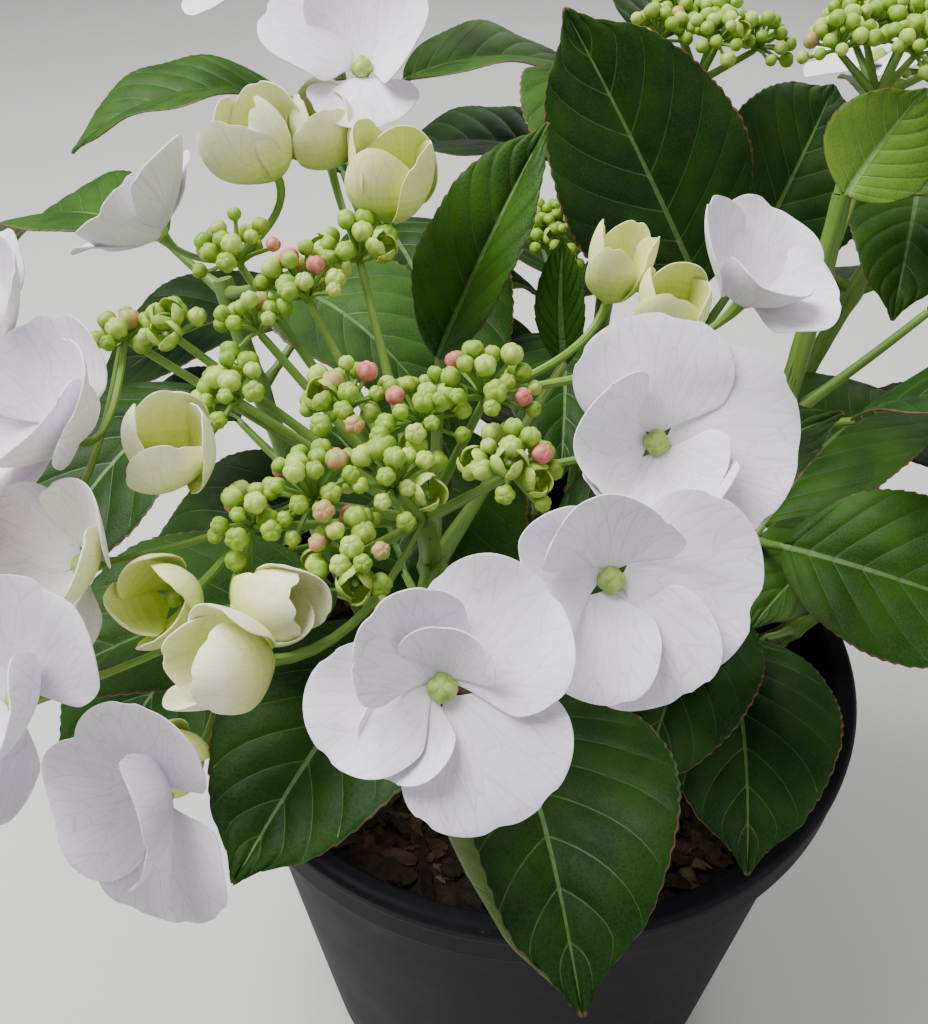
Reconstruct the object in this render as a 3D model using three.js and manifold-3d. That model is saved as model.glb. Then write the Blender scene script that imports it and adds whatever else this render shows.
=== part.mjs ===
// Lacecap hydrangea growing in a round nursery pot. Millimetres, +Z up.
// The origin is the middle of the pot's flat underside. The best flower head leans out to the front left,
// towards -Y and -X.
import * as THREE from "three";
import { mergeVertices } from "three/addons/utils/BufferGeometryUtils.js";
import Module from "manifold-3d";

const wasm = await Module();
wasm.setup();

// Pot and potting mix
const POT_HEIGHT = 240;
const POT_RIM_RADIUS = 140;
const POT_FOOT_RADIUS = 107;
const POT_NECK_RADIUS = 131;
const POT_WALL = 2.2;
const POT_FLOOR = 4;
const RIM_SKIRT = 22;
const RIM_LIP = 9;
const DRAIN_HOLES = 8;
const DRAIN_RADIUS = 6;
const DRAIN_RING_RADIUS = 84;
const MIX_LEVEL = 215;
const POT_SIDES = 32;

// Woody canes, green shoots and flower stalks
const CLEARANCE = 0.3;
const SLIVER = 0.2;
const CANE_FOOT_RADIUS = 5.6;
const CANE_TIP_RADIUS = 4.4;
const SHOOT_FOOT_RADIUS = 4.2;
const SHOOT_TIP_RADIUS = 3.2;
const STALK_FOOT_RADIUS = 3;
const STALK_TIP_RADIUS = 2.6;
const PETIOLE_RADIUS = 1.7;
const RAY_RADIUS = 1.4;
const PEDICEL_RADIUS = 0.9;

// Leaves: widest below the middle, drawn out to a point
const LEAF_THICKNESS = 1.4;
const LEAF_SECTIONS = [0.86, 0.62, 0.36, 0.14, 0.01];
const LEAF_WIDTH_RATIO = 0.64;
const LEAF_PEAK = 0.72;
const LEAF_ROUNDNESS = 0.9;
const LEAF_FOLD = 14;
const PETIOLE_LENGTH = 26;
const LEAF_TRIALS = [1, 0.76, 0.56];

// Sepals: nearly round, widest beyond the middle
const SEPAL_THICKNESS = 1;
const SEPAL_COLUMNS = 3;
const SMALL_SEPAL_COLUMNS = 2;
const LOBE_DEPTH = 0.32;
const LEAST_LOBE = 0.5;
const NECK_DROP = 2;
const CUP_SEPALS = 4;
const CUP_RISE = 62;
const EYE_RISE = 1.5;
const BUD_SINK = 2;
const SOCKET_STEP = 0.05;
const CLUSTER_COLUMNS = 6;
const CLUSTER_BUMP = 0.14;
const RULED_SPREAD = 10;
const RING_GAP = 11;
const GOLDEN_TURN = 137.5;

// Every shoot grows on from one cane. A cane goes from its foot on the mix to its tip, and the shoot bends
// through one point to its top. A leaf has the place of its petiole on the shoot, its blade's base and tip,
// its width, its arch and the way it faces. Pairs of leaves follow the seeded rule further down.
const SHOOTS = [
  {
    name: "front",
    foot: [-14, -26],
    tip: [-33, -84, 316],
    through: [-37, -102, 356],
    top: [-39, -116, 397],
    leaves: [
      {
        at: 0.14,
        base: [-20, -128, 350],
        tip: [-3, -219, 349],
        width: 74,
        arch: 13,
        face: [0.05, -0.45, 0.9],
      },
      { at: 0.14, base: [-50, -64, 342], tip: [-84, 14, 346], width: 62, arch: 12 },
      { at: 0.55, base: [-66, -116, 384], tip: [-142, -150, 380], width: 60, arch: 8 },
      { at: 0.55, base: [-6, -112, 388], tip: [74, -89, 425], width: 52, arch: 6 },
      {
        at: 0.93,
        base: [-44, -160, 414],
        tip: [-77, -214, 396],
        width: 50,
        arch: 4,
        face: [-0.3, -0.5, 0.8],
      },
      { at: 0.93, base: [-37, -78, 436], tip: [-8, -54, 492], width: 36, arch: 4, face: [-0.6, -0.75, 0.2] },
      { at: 0.93, base: [-3, -84, 438], tip: [-4, -70, 468], width: 14, arch: 2, face: [-0.2, -0.9, 0.4] },
    ],
  },
  {
    name: "centre",
    foot: [18, 14],
    tip: [46, 15, 330],
    through: [57, 6, 388],
    top: [52, 42, 452],
    leaves: [
      { at: 0.42, base: [50, -2, 416], tip: [0, 12, 502], width: 66, arch: 3, face: [0.1, -0.9, 0.45] },
      { at: 0.42, base: [72, 26, 408], tip: [112, 92, 452], width: 64, arch: 6, face: [0.2, -0.6, 0.75] },
    ],
  },
  {
    name: "right",
    foot: [36, -20],
    tip: [64, -33, 296],
    through: [76, -38, 350],
    top: [89, -8, 452],
    leaves: [
      { at: 0.06, base: [60, -70, 318], tip: [55, -154, 302], width: 62, arch: 12, face: [0, -0.4, 0.9] },
      { at: 0.2, base: [50, -62, 336], tip: [20, -142, 322], width: 52, arch: 10, face: [0, -0.4, 0.9] },
      { at: 0.3, base: [76, -64, 354], tip: [152, -102, 350], width: 60, arch: 8, face: [0, -0.5, 0.86] },
      { at: 0.6, base: [118, -27, 421], tip: [192, -14, 410], width: 56, arch: 10, face: [0, -0.5, 0.86] },
      { at: 0.86, base: [86, -19, 457], tip: [105, -11, 486], width: 37, arch: -6, face: [-0.2, -0.95, 0.2] },
      { at: 0.86, base: [98, 6, 446], tip: [142, 26, 448], width: 30, arch: 4, face: [0, -0.3, 0.95] },
    ],
    pairs: { from: 0.1, to: 0.6, count: 2, turn: 50, length: 100, pitch: 8 },
  },
  {
    name: "back_low",
    foot: [-2, 30],
    tip: [3, 52, 262],
    through: [6, 70, 320],
    top: [13, 80, 374],
    leaves: [],
    pairs: { from: 0.1, to: 0.8, count: 3, turn: 90, length: 112, pitch: -26 },
  },
  {
    name: "back_left",
    foot: [-26, 22],
    tip: [-48, 54, 266],
    through: [-66, 86, 350],
    top: [-82, 132, 440],
    leaves: [],
    pairs: { from: 0.05, to: 0.92, count: 5, turn: 20, length: 124, pitch: -28 },
  },
  {
    name: "left",
    foot: [-38, -4],
    tip: [-72, -6, 264],
    through: [-98, -4, 330],
    top: [-116, 16, 410],
    leaves: [],
    pairs: { from: 0.05, to: 0.97, count: 5, turn: 142, length: 122, pitch: -26 },
  },
  {
    name: "back",
    foot: [12, 42],
    tip: [24, 78, 268],
    through: [34, 106, 350],
    top: [46, 150, 446],
    leaves: [],
    pairs: { from: 0.05, to: 0.92, count: 5, turn: 75, length: 124, pitch: -26 },
  },
  {
    name: "back_right",
    foot: [42, 20],
    tip: [82, 45, 266],
    through: [114, 58, 340],
    top: [152, 78, 430],
    leaves: [],
    pairs: { from: 0.05, to: 0.92, count: 5, turn: 75, length: 124, pitch: -28 },
  },
  {
    name: "low_right",
    foot: [56, -6],
    tip: [104, -14, 258],
    through: [124, -18, 286],
    top: [138, -18, 318],
    leaves: [],
    pairs: { from: 0.1, to: 1, count: 3, turn: 40, length: 112, pitch: -24 },
  },
];

// Heads of flowers. An open floret has the place of its eye, the way it looks and its sepals, each as the
// angle round the eye, length, width and rise in degrees. A cup is a half-open floret: its eye, the way it
// looks and its sepals' length. A cluster of buds is its middle and its spread.
const PLACED_HEAD = {
  name: "flower_head_front",
  shoot: "front",
  top: [-40, -132, 424],
  columns: SEPAL_COLUMNS,
  open: [
    {
      eye: [13, -139, 452],
      looks: [-0.15, -0.76, 0.62],
      sepals: [
        [100, 29, 36, 16],
        [183, 24, 31, 45],
        [282, 23, 36, 36],
        [8, 31, 42, 6],
      ],
    },
    {
      eye: [0, -174, 443],
      looks: [-0.05, -0.72, 0.68],
      sepals: [
        [168, 24, 27, 34],
        [98, 22, 31, 42],
        [2, 30, 38, 8],
        [262, 26, 25, 14],
        [300, 28, 30, 4],
      ],
    },
    {
      eye: [-34, -201, 441],
      looks: [-0.05, -0.62, 0.76],
      sepals: [
        [132, 23, 27, 40],
        [200, 26, 26, 12],
        [45, 28, 33, 16],
        [306, 28, 35, -2],
      ],
    },
    {
      eye: [40, -92, 462],
      looks: [0.3, -0.35, 0.88],
      sepals: [
        [110, 28, 28, 40],
        [30, 28, 32, 20],
        [250, 24, 28, 30],
        [330, 24, 28, 25],
      ],
    },
    {
      eye: [-57, -40, 501],
      looks: [0, -0.4, 0.92],
      sepals: [
        [165, 29, 31, 24],
        [85, 27, 34, 36],
        [12, 26, 30, 46],
        [275, 22, 30, 4],
      ],
    },
    {
      eye: [-109, -72, 470],
      looks: [-0.6, 0.1, 0.8],
      sepals: [
        [90, 28, 28, 35],
        [180, 26, 28, 20],
        [270, 24, 28, 25],
        [0, 24, 26, 45],
      ],
    },
    {
      eye: [-138, -115, 466],
      looks: [-0.5, -0.3, 0.8],
      sepals: [
        [60, 26, 28, 35],
        [150, 26, 28, 20],
        [240, 24, 28, 20],
        [330, 24, 26, 30],
      ],
    },
    {
      eye: [-116, -142, 456],
      looks: [-0.35, -0.45, 0.82],
      sepals: [
        [40, 29, 30, 35],
        [130, 28, 32, 30],
        [215, 28, 32, 12],
        [300, 27, 32, 20],
      ],
    },
    {
      eye: [-110, -165, 439],
      looks: [-0.4, -0.72, 0.56],
      sepals: [
        [80, 22, 24, 30],
        [170, 24, 26, 15],
        [255, 24, 26, 15],
        [0, 22, 24, 35],
      ],
    },
    {
      eye: [-116, -196, 432],
      looks: [-0.3, -0.72, 0.62],
      sepals: [
        [75, 28, 34, 22],
        [350, 24, 30, 40],
        [250, 26, 32, 14],
        [165, 28, 34, 10],
      ],
    },
    {
      eye: [-94, -197, 402],
      looks: [-0.35, -0.8, 0.5],
      sepals: [
        [95, 26, 32, 24],
        [15, 24, 30, 52],
        [205, 29, 34, 6],
        [290, 28, 36, 4],
      ],
    },
    {
      eye: [-136, -154, 434],
      looks: [-0.7, -0.4, 0.6],
      sepals: [
        [70, 24, 26, 25],
        [160, 24, 26, 20],
        [250, 24, 26, 15],
        [340, 22, 24, 30],
      ],
    },
  ],
  cups: [
    [[-80, -58, 481], [-0.35, -0.2, 0.92], 23],
    [[-49, -75, 477], [0.1, -0.1, 0.99], 22],
    [[-96, -142, 447], [0.15, -0.35, 0.92], 22],
    [[-92, -168, 432], [-0.3, -0.7, 0.65], 19],
    [[-76, -172, 434], [0.8, -0.4, 0.4], 19],
    [[-70, -188, 434], [-0.7, -0.5, 0.45], 20],
    [[6, -94, 464], [0.2, 0, 0.98], 19],
    [[19, -105, 463], [0, -0.3, 0.95], 19],
    [[-66, -51, 481], [-0.1, -0.2, 0.97], 20],
    [[-90, -186, 402], [-0.5, -0.7, 0.5], 14],
  ],
  clusters: [
    [-65, -152, 451, 11],
    [-55, -164, 443, 9],
    [-46, -149, 452, 11],
    [-40, -132, 459, 11],
    [-24, -127, 463, 11],
    [-18, -146, 454, 10],
    [-58, -128, 460, 10],
    [-70, -94, 471, 11],
    [-57, -83, 476, 10],
    [-88, -85, 475, 10],
    [-101, -107, 465, 8],
    [-85, -124, 459, 9],
    [-114, -104, 462, 7],
    [-78, -158, 447, 8],
    [-81, -106, 467, 9],
  ],
};

// The other heads follow a rule: clusters on a dome, and for an open head a ring of florets round it.
const RULED_HEADS = [
  {
    name: "bud_head_right",
    shoot: "right",
    top: [100, 10, 479],
    reach: 25,
    rise: 16,
    clusters: 7,
    open: 0,
  },
  {
    name: "bud_head_centre",
    shoot: "centre",
    top: [50, 48, 470],
    reach: 24,
    rise: 16,
    clusters: 7,
    open: 0,
  },
  {
    name: "bud_head_back_low",
    shoot: "back_low",
    top: [13, 82, 386],
    reach: 18,
    rise: 12,
    clusters: 5,
    open: 0,
  },
  {
    name: "bud_head_back_left",
    shoot: "back_left",
    top: [-96, 150, 462],
    reach: 30,
    rise: 18,
    clusters: 7,
    open: 3,
  },
  {
    name: "flower_head_back",
    shoot: "back",
    top: [54, 164, 468],
    reach: 36,
    rise: 22,
    clusters: 8,
    open: 7,
  },
  {
    name: "bud_head_back_right",
    shoot: "back_right",
    top: [160, 84, 448],
    reach: 28,
    rise: 16,
    clusters: 7,
    open: 2,
  },
];

const COLOURS = {
  pot: ["#1d1f27", 0.45],
  mix: ["#35271d", 0.95],
  cane: ["#6d5536", 0.8],
  leaf: ["#2c5a26", 0.5],
  flower: ["#dcdae2", 0.6],
  bud: ["#8fb04c", 0.6],
};

const radians = THREE.MathUtils.degToRad;
const vector = (p) => new THREE.Vector3(...p);

// Seeded numbers between 0 and 1, the same on every run
function seeded(seed) {
  let state = seed >>> 0;
  return () => {
    state = (state + 0x6d2b79f5) >>> 0;
    let mixed = Math.imul(state ^ (state >>> 15), state | 1);
    mixed ^= mixed + Math.imul(mixed ^ (mixed >>> 7), mixed | 61);
    return ((mixed ^ (mixed >>> 14)) >>> 0) / 4294967296;
  };
}

// A closed geometry as a solid that can be joined and cut
function solidOf(geometry) {
  geometry.deleteAttribute("normal");
  geometry.deleteAttribute("uv");
  const merged = mergeVertices(geometry, 1e-4);
  return new wasm.Manifold(
    new wasm.Mesh({
      numProp: 3,
      vertProperties: merged.attributes.position.array,
      triVerts: new Uint32Array(merged.index.array),
    }),
  );
}

function geometryOf(solid) {
  const mesh = solid.getMesh();
  const geometry = new THREE.BufferGeometry();
  geometry.setAttribute("position", new THREE.BufferAttribute(mesh.vertProperties, 3));
  geometry.setIndex(new THREE.BufferAttribute(mesh.triVerts, 1));
  geometry.computeVertexNormals();
  return geometry;
}

// The largest body alone, rid of slivers: a sealed hollow is filled and a loose scrap is dropped
function wholeBody(pieces) {
  const bodies = wasm.Manifold.union(pieces).simplify(SLIVER).decompose();
  return bodies.reduce((best, body) => (body.volume() > best.volume() ? body : best));
}

function moveVertices(geometry, place) {
  const position = geometry.attributes.position;
  const point = new THREE.Vector3();
  for (let i = 0; i < position.count; i += 1) {
    point.fromBufferAttribute(position, i);
    const moved = place(point);
    position.setXYZ(i, moved.x, moved.y, moved.z);
  }
  return geometry;
}

// A tapering limb along a curve, cut square at both ends
function limb(curve, footRadius, tipRadius, sides, steps) {
  const along = curve.getPoint(1).sub(curve.getPoint(0)).normalize();
  const reference = Math.abs(along.y) < 0.8 ? new THREE.Vector3(0, 1, 0) : new THREE.Vector3(1, 0, 0);
  const geometry = new THREE.CylinderGeometry(tipRadius, footRadius, 1, sides, steps);
  return solidOf(
    moveVertices(geometry, (p) => {
      const t = p.y + 0.5;
      const tangent = curve.getTangent(t);
      const across = new THREE.Vector3().crossVectors(reference, tangent).normalize();
      const beside = new THREE.Vector3().crossVectors(across, tangent);
      return curve.getPoint(t).addScaledVector(across, p.x).addScaledVector(beside, p.z);
    }),
  );
}

// The midrib of a blade from base to tip that faces one way and bulges by arch
function midrib({ base, tip, face, arch }) {
  const start = vector(base);
  const axis = vector(tip).sub(start);
  const along = axis.clone().normalize();
  const up = vector(face ?? [0, 0, 1]);
  up.addScaledVector(along, -up.dot(along)).normalize();
  const side = new THREE.Vector3().crossVectors(up, along);
  const at = (t) => start.clone().addScaledVector(axis, t).addScaledVector(up, arch * 4 * t * (1 - t));
  return { at, up, side };
}

// A closed solid through rings, from its top pole to its root. Each ring turns an angle into a point.
function ringSolid(columns, rings) {
  const last = rings.length - 1;
  return solidOf(
    moveVertices(new THREE.SphereGeometry(1, columns, last), (p) => {
      const ring = Math.round((last * Math.acos(THREE.MathUtils.clamp(p.y, -1, 1))) / Math.PI);
      return rings[ring](Math.atan2(-p.z, p.x));
    }),
  );
}

// A point round a place: out and height along its frame, at an angle
function aroundPlace(centre, frame, turn, out, height) {
  return centre
    .clone()
    .addScaledVector(frame.right, out * Math.cos(turn))
    .addScaledVector(frame.top, out * Math.sin(turn))
    .addScaledVector(frame.out, height);
}

// A leaf as one thin solid. Its petiole starts inside the shoot, and its halves fold up from the midrib.
function leaf(shootCurve, entry) {
  const root = shootCurve.getPoint(entry.at);
  const rib = midrib(entry);
  const shoulder = rib.at(0).sub(root).normalize().multiplyScalar(PETIOLE_RADIUS).add(root);
  const petiole = (turn) =>
    shoulder
      .clone()
      .addScaledVector(rib.side, PETIOLE_RADIUS * Math.cos(turn))
      .addScaledVector(rib.up, PETIOLE_RADIUS * Math.sin(turn));
  const section = (t) => (turn) => {
    const half = (entry.width / 2) * Math.sin(Math.PI * t ** LEAF_PEAK) ** LEAF_ROUNDNESS;
    const across = half * Math.cos(turn);
    const fold = Math.abs(across) * Math.sin(radians(LEAF_FOLD));
    return rib
      .at(t)
      .addScaledVector(rib.side, across * Math.cos(radians(LEAF_FOLD)))
      .addScaledVector(rib.up, fold + (LEAF_THICKNESS / 2) * Math.sin(turn));
  };
  return ringSolid(4, [() => rib.at(1), ...LEAF_SECTIONS.map(section), petiole, () => root]);
}

// Opposite pairs, each turned a quarter from the pair below, that grow shorter and steeper towards the top
function ruledLeaves(shootCurve, pairs, random) {
  const leaves = [];
  for (let i = 0; i < pairs.count; i += 1) {
    const share = pairs.count > 1 ? i / (pairs.count - 1) : 0;
    const at = pairs.from + (pairs.to - pairs.from) * share;
    for (let side = 0; side < 2; side += 1) {
      const turn = radians(pairs.turn + 90 * i + 180 * side + 16 * (random() - 0.5));
      const length = pairs.length * (1 - 0.24 * share) * (0.92 + 0.16 * random());
      const pitch = radians(pairs.pitch + 14 * share + 14 * (random() - 0.5));
      const out = new THREE.Vector3(Math.cos(turn), Math.sin(turn), 0);
      const base = shootCurve.getPoint(at).addScaledVector(out, PETIOLE_LENGTH);
      base.z += PETIOLE_LENGTH * 0.55;
      const tip = base.clone().addScaledVector(out, length * Math.cos(pitch));
      tip.z += length * Math.sin(pitch);
      leaves.push({
        at,
        base: base.toArray(),
        tip: tip.toArray(),
        width: length * LEAF_WIDTH_RATIO,
        arch: length * 0.13,
      });
    }
  }
  return leaves;
}

// The directions across a floret that looks along a given way: to its right and to its top
function floretFrame(looks) {
  const out = vector(looks).normalize();
  const right = new THREE.Vector3(0, 0, 1).cross(out);
  if (right.length() < 0.01) {
    right.set(1, 0, 0);
  }
  right.normalize();
  const top = new THREE.Vector3().crossVectors(out, right);
  return { out, right, top };
}

// How far apart two angles are, in degrees
const turnApart = (a, b) => Math.abs(((a - b + 540) % 360) - 180);

// The sepals of a floret as one lobed cup, on a pedicel whose root is sunk into a ray.
// Each sepal is its angle round the eye, length, width and rise in degrees.
function floret(root, eye, frame, sepals, columns) {
  const sheet = (share, side) => (turn) => {
    const degrees = THREE.MathUtils.radToDeg(turn);
    const nearest = [...sepals].sort((a, b) => turnApart(degrees, a[0]) - turnApart(degrees, b[0]))[0];
    const [heading, length, width, rise] = nearest;
    const lobe = 1 - LOBE_DEPTH * ((turnApart(degrees, heading) * length) / (90 * width)) ** 2;
    const reach = length * Math.max(lobe, LEAST_LOBE) * share;
    const height = reach * Math.sin(radians(rise)) * share ** 0.5;
    const skin = (SEPAL_THICKNESS / 2) * side;
    return aroundPlace(eye, frame, turn, reach * Math.cos(radians(rise)), height + skin);
  };
  const cup = ringSolid(sepals.length * columns, [
    () => eye.clone().addScaledVector(frame.out, EYE_RISE),
    sheet(0.55, 1),
    sheet(1, 0),
    sheet(0.5, -1),
    () => eye.clone().addScaledVector(frame.out, -NECK_DROP),
  ]);
  const elbow = eye.clone().addScaledVector(frame.out, -root.distanceTo(eye) * 0.4);
  const pedicel = new THREE.QuadraticBezierCurve3(root, elbow, eye);
  return cup.add(limb(pedicel, PEDICEL_RADIUS, PEDICEL_RADIUS, 3, 2));
}

// A dome of buds on its ray, whose root is sunk into the stalk's top
function budCluster(root, middle, axis, spread) {
  const frame = floretFrame(axis.toArray());
  const lumps = (out, height, phase) => (turn) => {
    const bump = 1 + CLUSTER_BUMP * Math.cos((CLUSTER_COLUMNS / 2) * turn + phase);
    return aroundPlace(middle, frame, turn, spread * out * bump, spread * height);
  };
  const along = middle.clone().addScaledVector(frame.out, -spread).sub(root).normalize();
  const low = floretFrame(along.toArray());
  return ringSolid(CLUSTER_COLUMNS, [
    () => middle.clone().addScaledVector(frame.out, spread * 0.5),
    lumps(0.6, 0.35, 0),
    lumps(1, 0, Math.PI),
    lumps(0.55, -0.45, 0),
    lumps(RAY_RADIUS / spread, -0.95, 0),
    (turn) => aroundPlace(root, low, turn, RAY_RADIUS, BUD_SINK),
    () => root,
  ]);
}

// A head of flowers: a stalk on from the shoot's top, rays to the clusters, and florets on pedicels
function flowerHead(shoot, head) {
  const foot = vector(shoot.top);
  const way = foot.clone().sub(vector(shoot.through)).normalize();
  foot.addScaledVector(way, CLEARANCE);
  const top = vector(head.top);
  const elbow = foot.clone().addScaledVector(way, foot.distanceTo(top) * 0.5);
  const stem = new THREE.QuadraticBezierCurve3(foot, elbow, top);
  const stalkTop = stem.getPoint(0.9);
  const pieces = [limb(stem, STALK_FOOT_RADIUS, STALK_TIP_RADIUS, 5, 2)];
  const sockets = [];
  for (const [x, y, z, spread] of head.clusters) {
    const middle = new THREE.Vector3(x, y, z);
    const axis = middle.clone().sub(top).normalize();
    axis.add(new THREE.Vector3(0, 0, 1)).normalize();
    sockets.push(middle.clone().addScaledVector(axis, -spread * 0.6));
    pieces.push(budCluster(stalkTop, middle, axis, spread));
  }
  const nearer = (point) => (a, b) => (b.distanceTo(point) < a.distanceTo(point) ? b : a);
  const florets = head.open.map((entry) => ({ ...entry, columns: head.columns }));
  for (const [eye, looks, length] of head.cups) {
    const sepals = [];
    for (let i = 0; i < CUP_SEPALS; i += 1) {
      sepals.push([(360 / CUP_SEPALS) * i, length, length, CUP_RISE]);
    }
    florets.push({ eye, looks, sepals, columns: SMALL_SEPAL_COLUMNS });
  }
  for (const { eye, looks, sepals, columns } of florets) {
    const centre = vector(eye);
    const root = sockets.reduce(nearer(centre), top).clone().lerp(centre, SOCKET_STEP);
    pieces.push(floret(root, centre, floretFrame(looks), sepals, columns));
  }
  return wholeBody(pieces);
}

// A head by rule: clusters spread evenly over a dome, and open florets in a ring round it
function ruledHead({ name, shoot, top, reach, rise, clusters, open }, random) {
  const head = { name, shoot, top, columns: SMALL_SEPAL_COLUMNS, clusters: [], open: [], cups: [] };
  for (let i = 0; i < clusters; i += 1) {
    const turn = radians(GOLDEN_TURN * i + 10 * random());
    const out = reach * Math.sqrt((i + 0.3) / clusters);
    const lift = rise + 6 * (1 - (out / reach) ** 2);
    const middle = [top[0] + out * Math.cos(turn), top[1] + out * Math.sin(turn), top[2] + lift];
    head.clusters.push([...middle, RULED_SPREAD]);
  }
  for (let i = 0; i < open; i += 1) {
    const turn = radians((360 / open) * i + 20 * random());
    const out = reach + RING_GAP + 4 * random();
    const looks = [0.5 * Math.cos(turn), 0.5 * Math.sin(turn), 0.86];
    const sepals = [];
    for (let side = 0; side < 4; side += 1) {
      sepals.push([90 * side + 30 * random(), 25 + 4 * random(), 30, 14 + 12 * (side % 2)]);
    }
    const height = rise - 2 + 6 * random();
    const eye = [top[0] + out * Math.cos(turn), top[1] + out * Math.sin(turn), top[2] + height];
    head.open.push({ eye, looks, sepals });
  }
  return head;
}

function pot() {
  const neckHeight = POT_HEIGHT - RIM_SKIRT;
  const innerFoot = POT_FOOT_RADIUS - POT_WALL;
  const innerNeck = POT_NECK_RADIUS - POT_WALL;
  const profile = [
    [0, 0],
    [POT_FOOT_RADIUS - 1, 0],
    [POT_FOOT_RADIUS, 1.5],
    [POT_NECK_RADIUS, neckHeight],
    [POT_RIM_RADIUS - 2, neckHeight],
    [POT_RIM_RADIUS - 1, neckHeight + 2],
    [POT_RIM_RADIUS, POT_HEIGHT - 3],
    [POT_RIM_RADIUS - 1.5, POT_HEIGHT - 0.6],
    [POT_RIM_RADIUS - 3.5, POT_HEIGHT],
    [POT_RIM_RADIUS - RIM_LIP, POT_HEIGHT - 0.8],
    [innerNeck, POT_HEIGHT - 4],
    [innerNeck, neckHeight],
    [innerFoot, POT_FLOOR],
    [0, POT_FLOOR],
  ];
  const points = profile.map(([radius, height]) => new THREE.Vector2(radius, height));
  let body = solidOf(new THREE.LatheGeometry(points, POT_SIDES).rotateX(Math.PI / 2));
  for (let i = 0; i < DRAIN_HOLES; i += 1) {
    const turn = (2 * Math.PI * i) / DRAIN_HOLES;
    const hole = new THREE.CylinderGeometry(DRAIN_RADIUS, DRAIN_RADIUS, 3 * POT_FLOOR, 10)
      .rotateX(Math.PI / 2)
      .translate(DRAIN_RING_RADIUS * Math.cos(turn), DRAIN_RING_RADIUS * Math.sin(turn), POT_FLOOR / 2);
    body = body.subtract(solidOf(hole));
  }
  return body;
}

// Potting mix that fills the pot, with a flat top that the canes stand on
function pottingMix() {
  const neckHeight = POT_HEIGHT - RIM_SKIRT;
  const slope = (POT_NECK_RADIUS - POT_FOOT_RADIUS) / neckHeight;
  const bottom = POT_FLOOR + CLEARANCE;
  const radiusAt = (height) => POT_FOOT_RADIUS - POT_WALL + slope * height - 2 * CLEARANCE - 0.6;
  const points = [
    [0, bottom],
    [radiusAt(bottom), bottom],
    [radiusAt(MIX_LEVEL), MIX_LEVEL],
    [0, MIX_LEVEL],
  ].map(([radius, height]) => new THREE.Vector2(radius, height));
  return solidOf(new THREE.LatheGeometry(points, POT_SIDES).rotateX(Math.PI / 2));
}

// A cane rises upright from its flat foot on the mix and leans over to meet its shoot
function cane(shoot) {
  const foot = new THREE.Vector3(...shoot.foot, MIX_LEVEL + CLEARANCE);
  const tip = vector(shoot.tip);
  const way = vector(shoot.through).sub(tip).normalize();
  const length = foot.distanceTo(tip);
  const rise = foot.clone().add(new THREE.Vector3(0, 0, length * 0.35));
  const lean = tip.clone().addScaledVector(way, -length * 0.35);
  return limb(new THREE.CubicBezierCurve3(foot, rise, lean, tip), CANE_FOOT_RADIUS, CANE_TIP_RADIUS, 7, 5);
}

function shootCurve(shoot) {
  const foot = vector(shoot.tip);
  const way = vector(shoot.through).sub(foot).normalize();
  foot.addScaledVector(way, CLEARANCE);
  return new THREE.QuadraticBezierCurve3(foot, vector(shoot.through), vector(shoot.top));
}

const placed = [];
const stems = SHOOTS.map((shoot) => limb(shootCurve(shoot), SHOOT_FOOT_RADIUS, SHOOT_TIP_RADIUS, 5, 4));

// A leaf may join its own stem only where it stays clear of every other stem and node
function isClear(solid, ownStem) {
  const others = [...placed.map((other) => other.solid), ...stems.filter((stem) => stem !== ownStem)];
  return others.every((other) => solid.minGap(other, CLEARANCE * 2) >= CLEARANCE);
}

// A leaf whose blade is cut down to a share of its size
function shortened(entry, share) {
  const tip = vector(entry.base).lerp(vector(entry.tip), share);
  return { ...entry, tip: tip.toArray(), width: entry.width * share, arch: entry.arch * share };
}

// Shoots keep to their own space: a leaf that would touch another node stays shorter, or is skipped
function leafyShoot(shoot, stem, random) {
  const curve = shootCurve(shoot);
  const wanted = [...shoot.leaves];
  if (shoot.pairs) {
    wanted.push(...ruledLeaves(curve, shoot.pairs, random));
  }
  const grown = [];
  for (const entry of wanted) {
    const trials = LEAF_TRIALS.map((share) => leaf(curve, shortened(entry, share)));
    const kept = trials.find((trial) => isClear(trial, stem));
    if (kept) {
      grown.push(kept);
    }
  }
  return wholeBody([stem, ...grown]);
}

function place(name, solid, [colour, roughness]) {
  placed.push({ name, solid, colour, roughness });
}

place("pot", pot(), COLOURS.pot);
place("potting_mix", pottingMix(), COLOURS.mix);
SHOOTS.forEach((shoot) => place("cane_" + shoot.name, cane(shoot), COLOURS.cane));
const shootNamed = (name) => SHOOTS.find((shoot) => shoot.name === name);
place(PLACED_HEAD.name, flowerHead(shootNamed("front"), PLACED_HEAD), COLOURS.flower);
RULED_HEADS.forEach((entry, i) => {
  const head = ruledHead(entry, seeded(300 + i));
  place(head.name, flowerHead(shootNamed(head.shoot), head), entry.open > 3 ? COLOURS.flower : COLOURS.bud);
});
SHOOTS.forEach((shoot, i) => {
  place("leaves_" + shoot.name, leafyShoot(shoot, stems[i], seeded(200 + i)), COLOURS.leaf);
});

const hydrangea = new THREE.Group();
for (const { name, solid, colour, roughness } of placed) {
  const material = new THREE.MeshStandardMaterial({ color: colour, roughness, metalness: 0 });
  const mesh = new THREE.Mesh(geometryOf(solid), material);
  mesh.name = name;
  hydrangea.add(mesh);
}

export default hydrangea;
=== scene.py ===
"""Lacecap hydrangea in a nursery pot: leaves, flowers, stems, bark, pot and mix around the CAD frame.

Sizes and places are in millimetres, in the frame of the solids, and turn into metres when a mesh is made.
The shoots, heads and their seeded rule are the ones that the solids grow by, carried finer.
"""

import math
from collections import namedtuple

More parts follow.
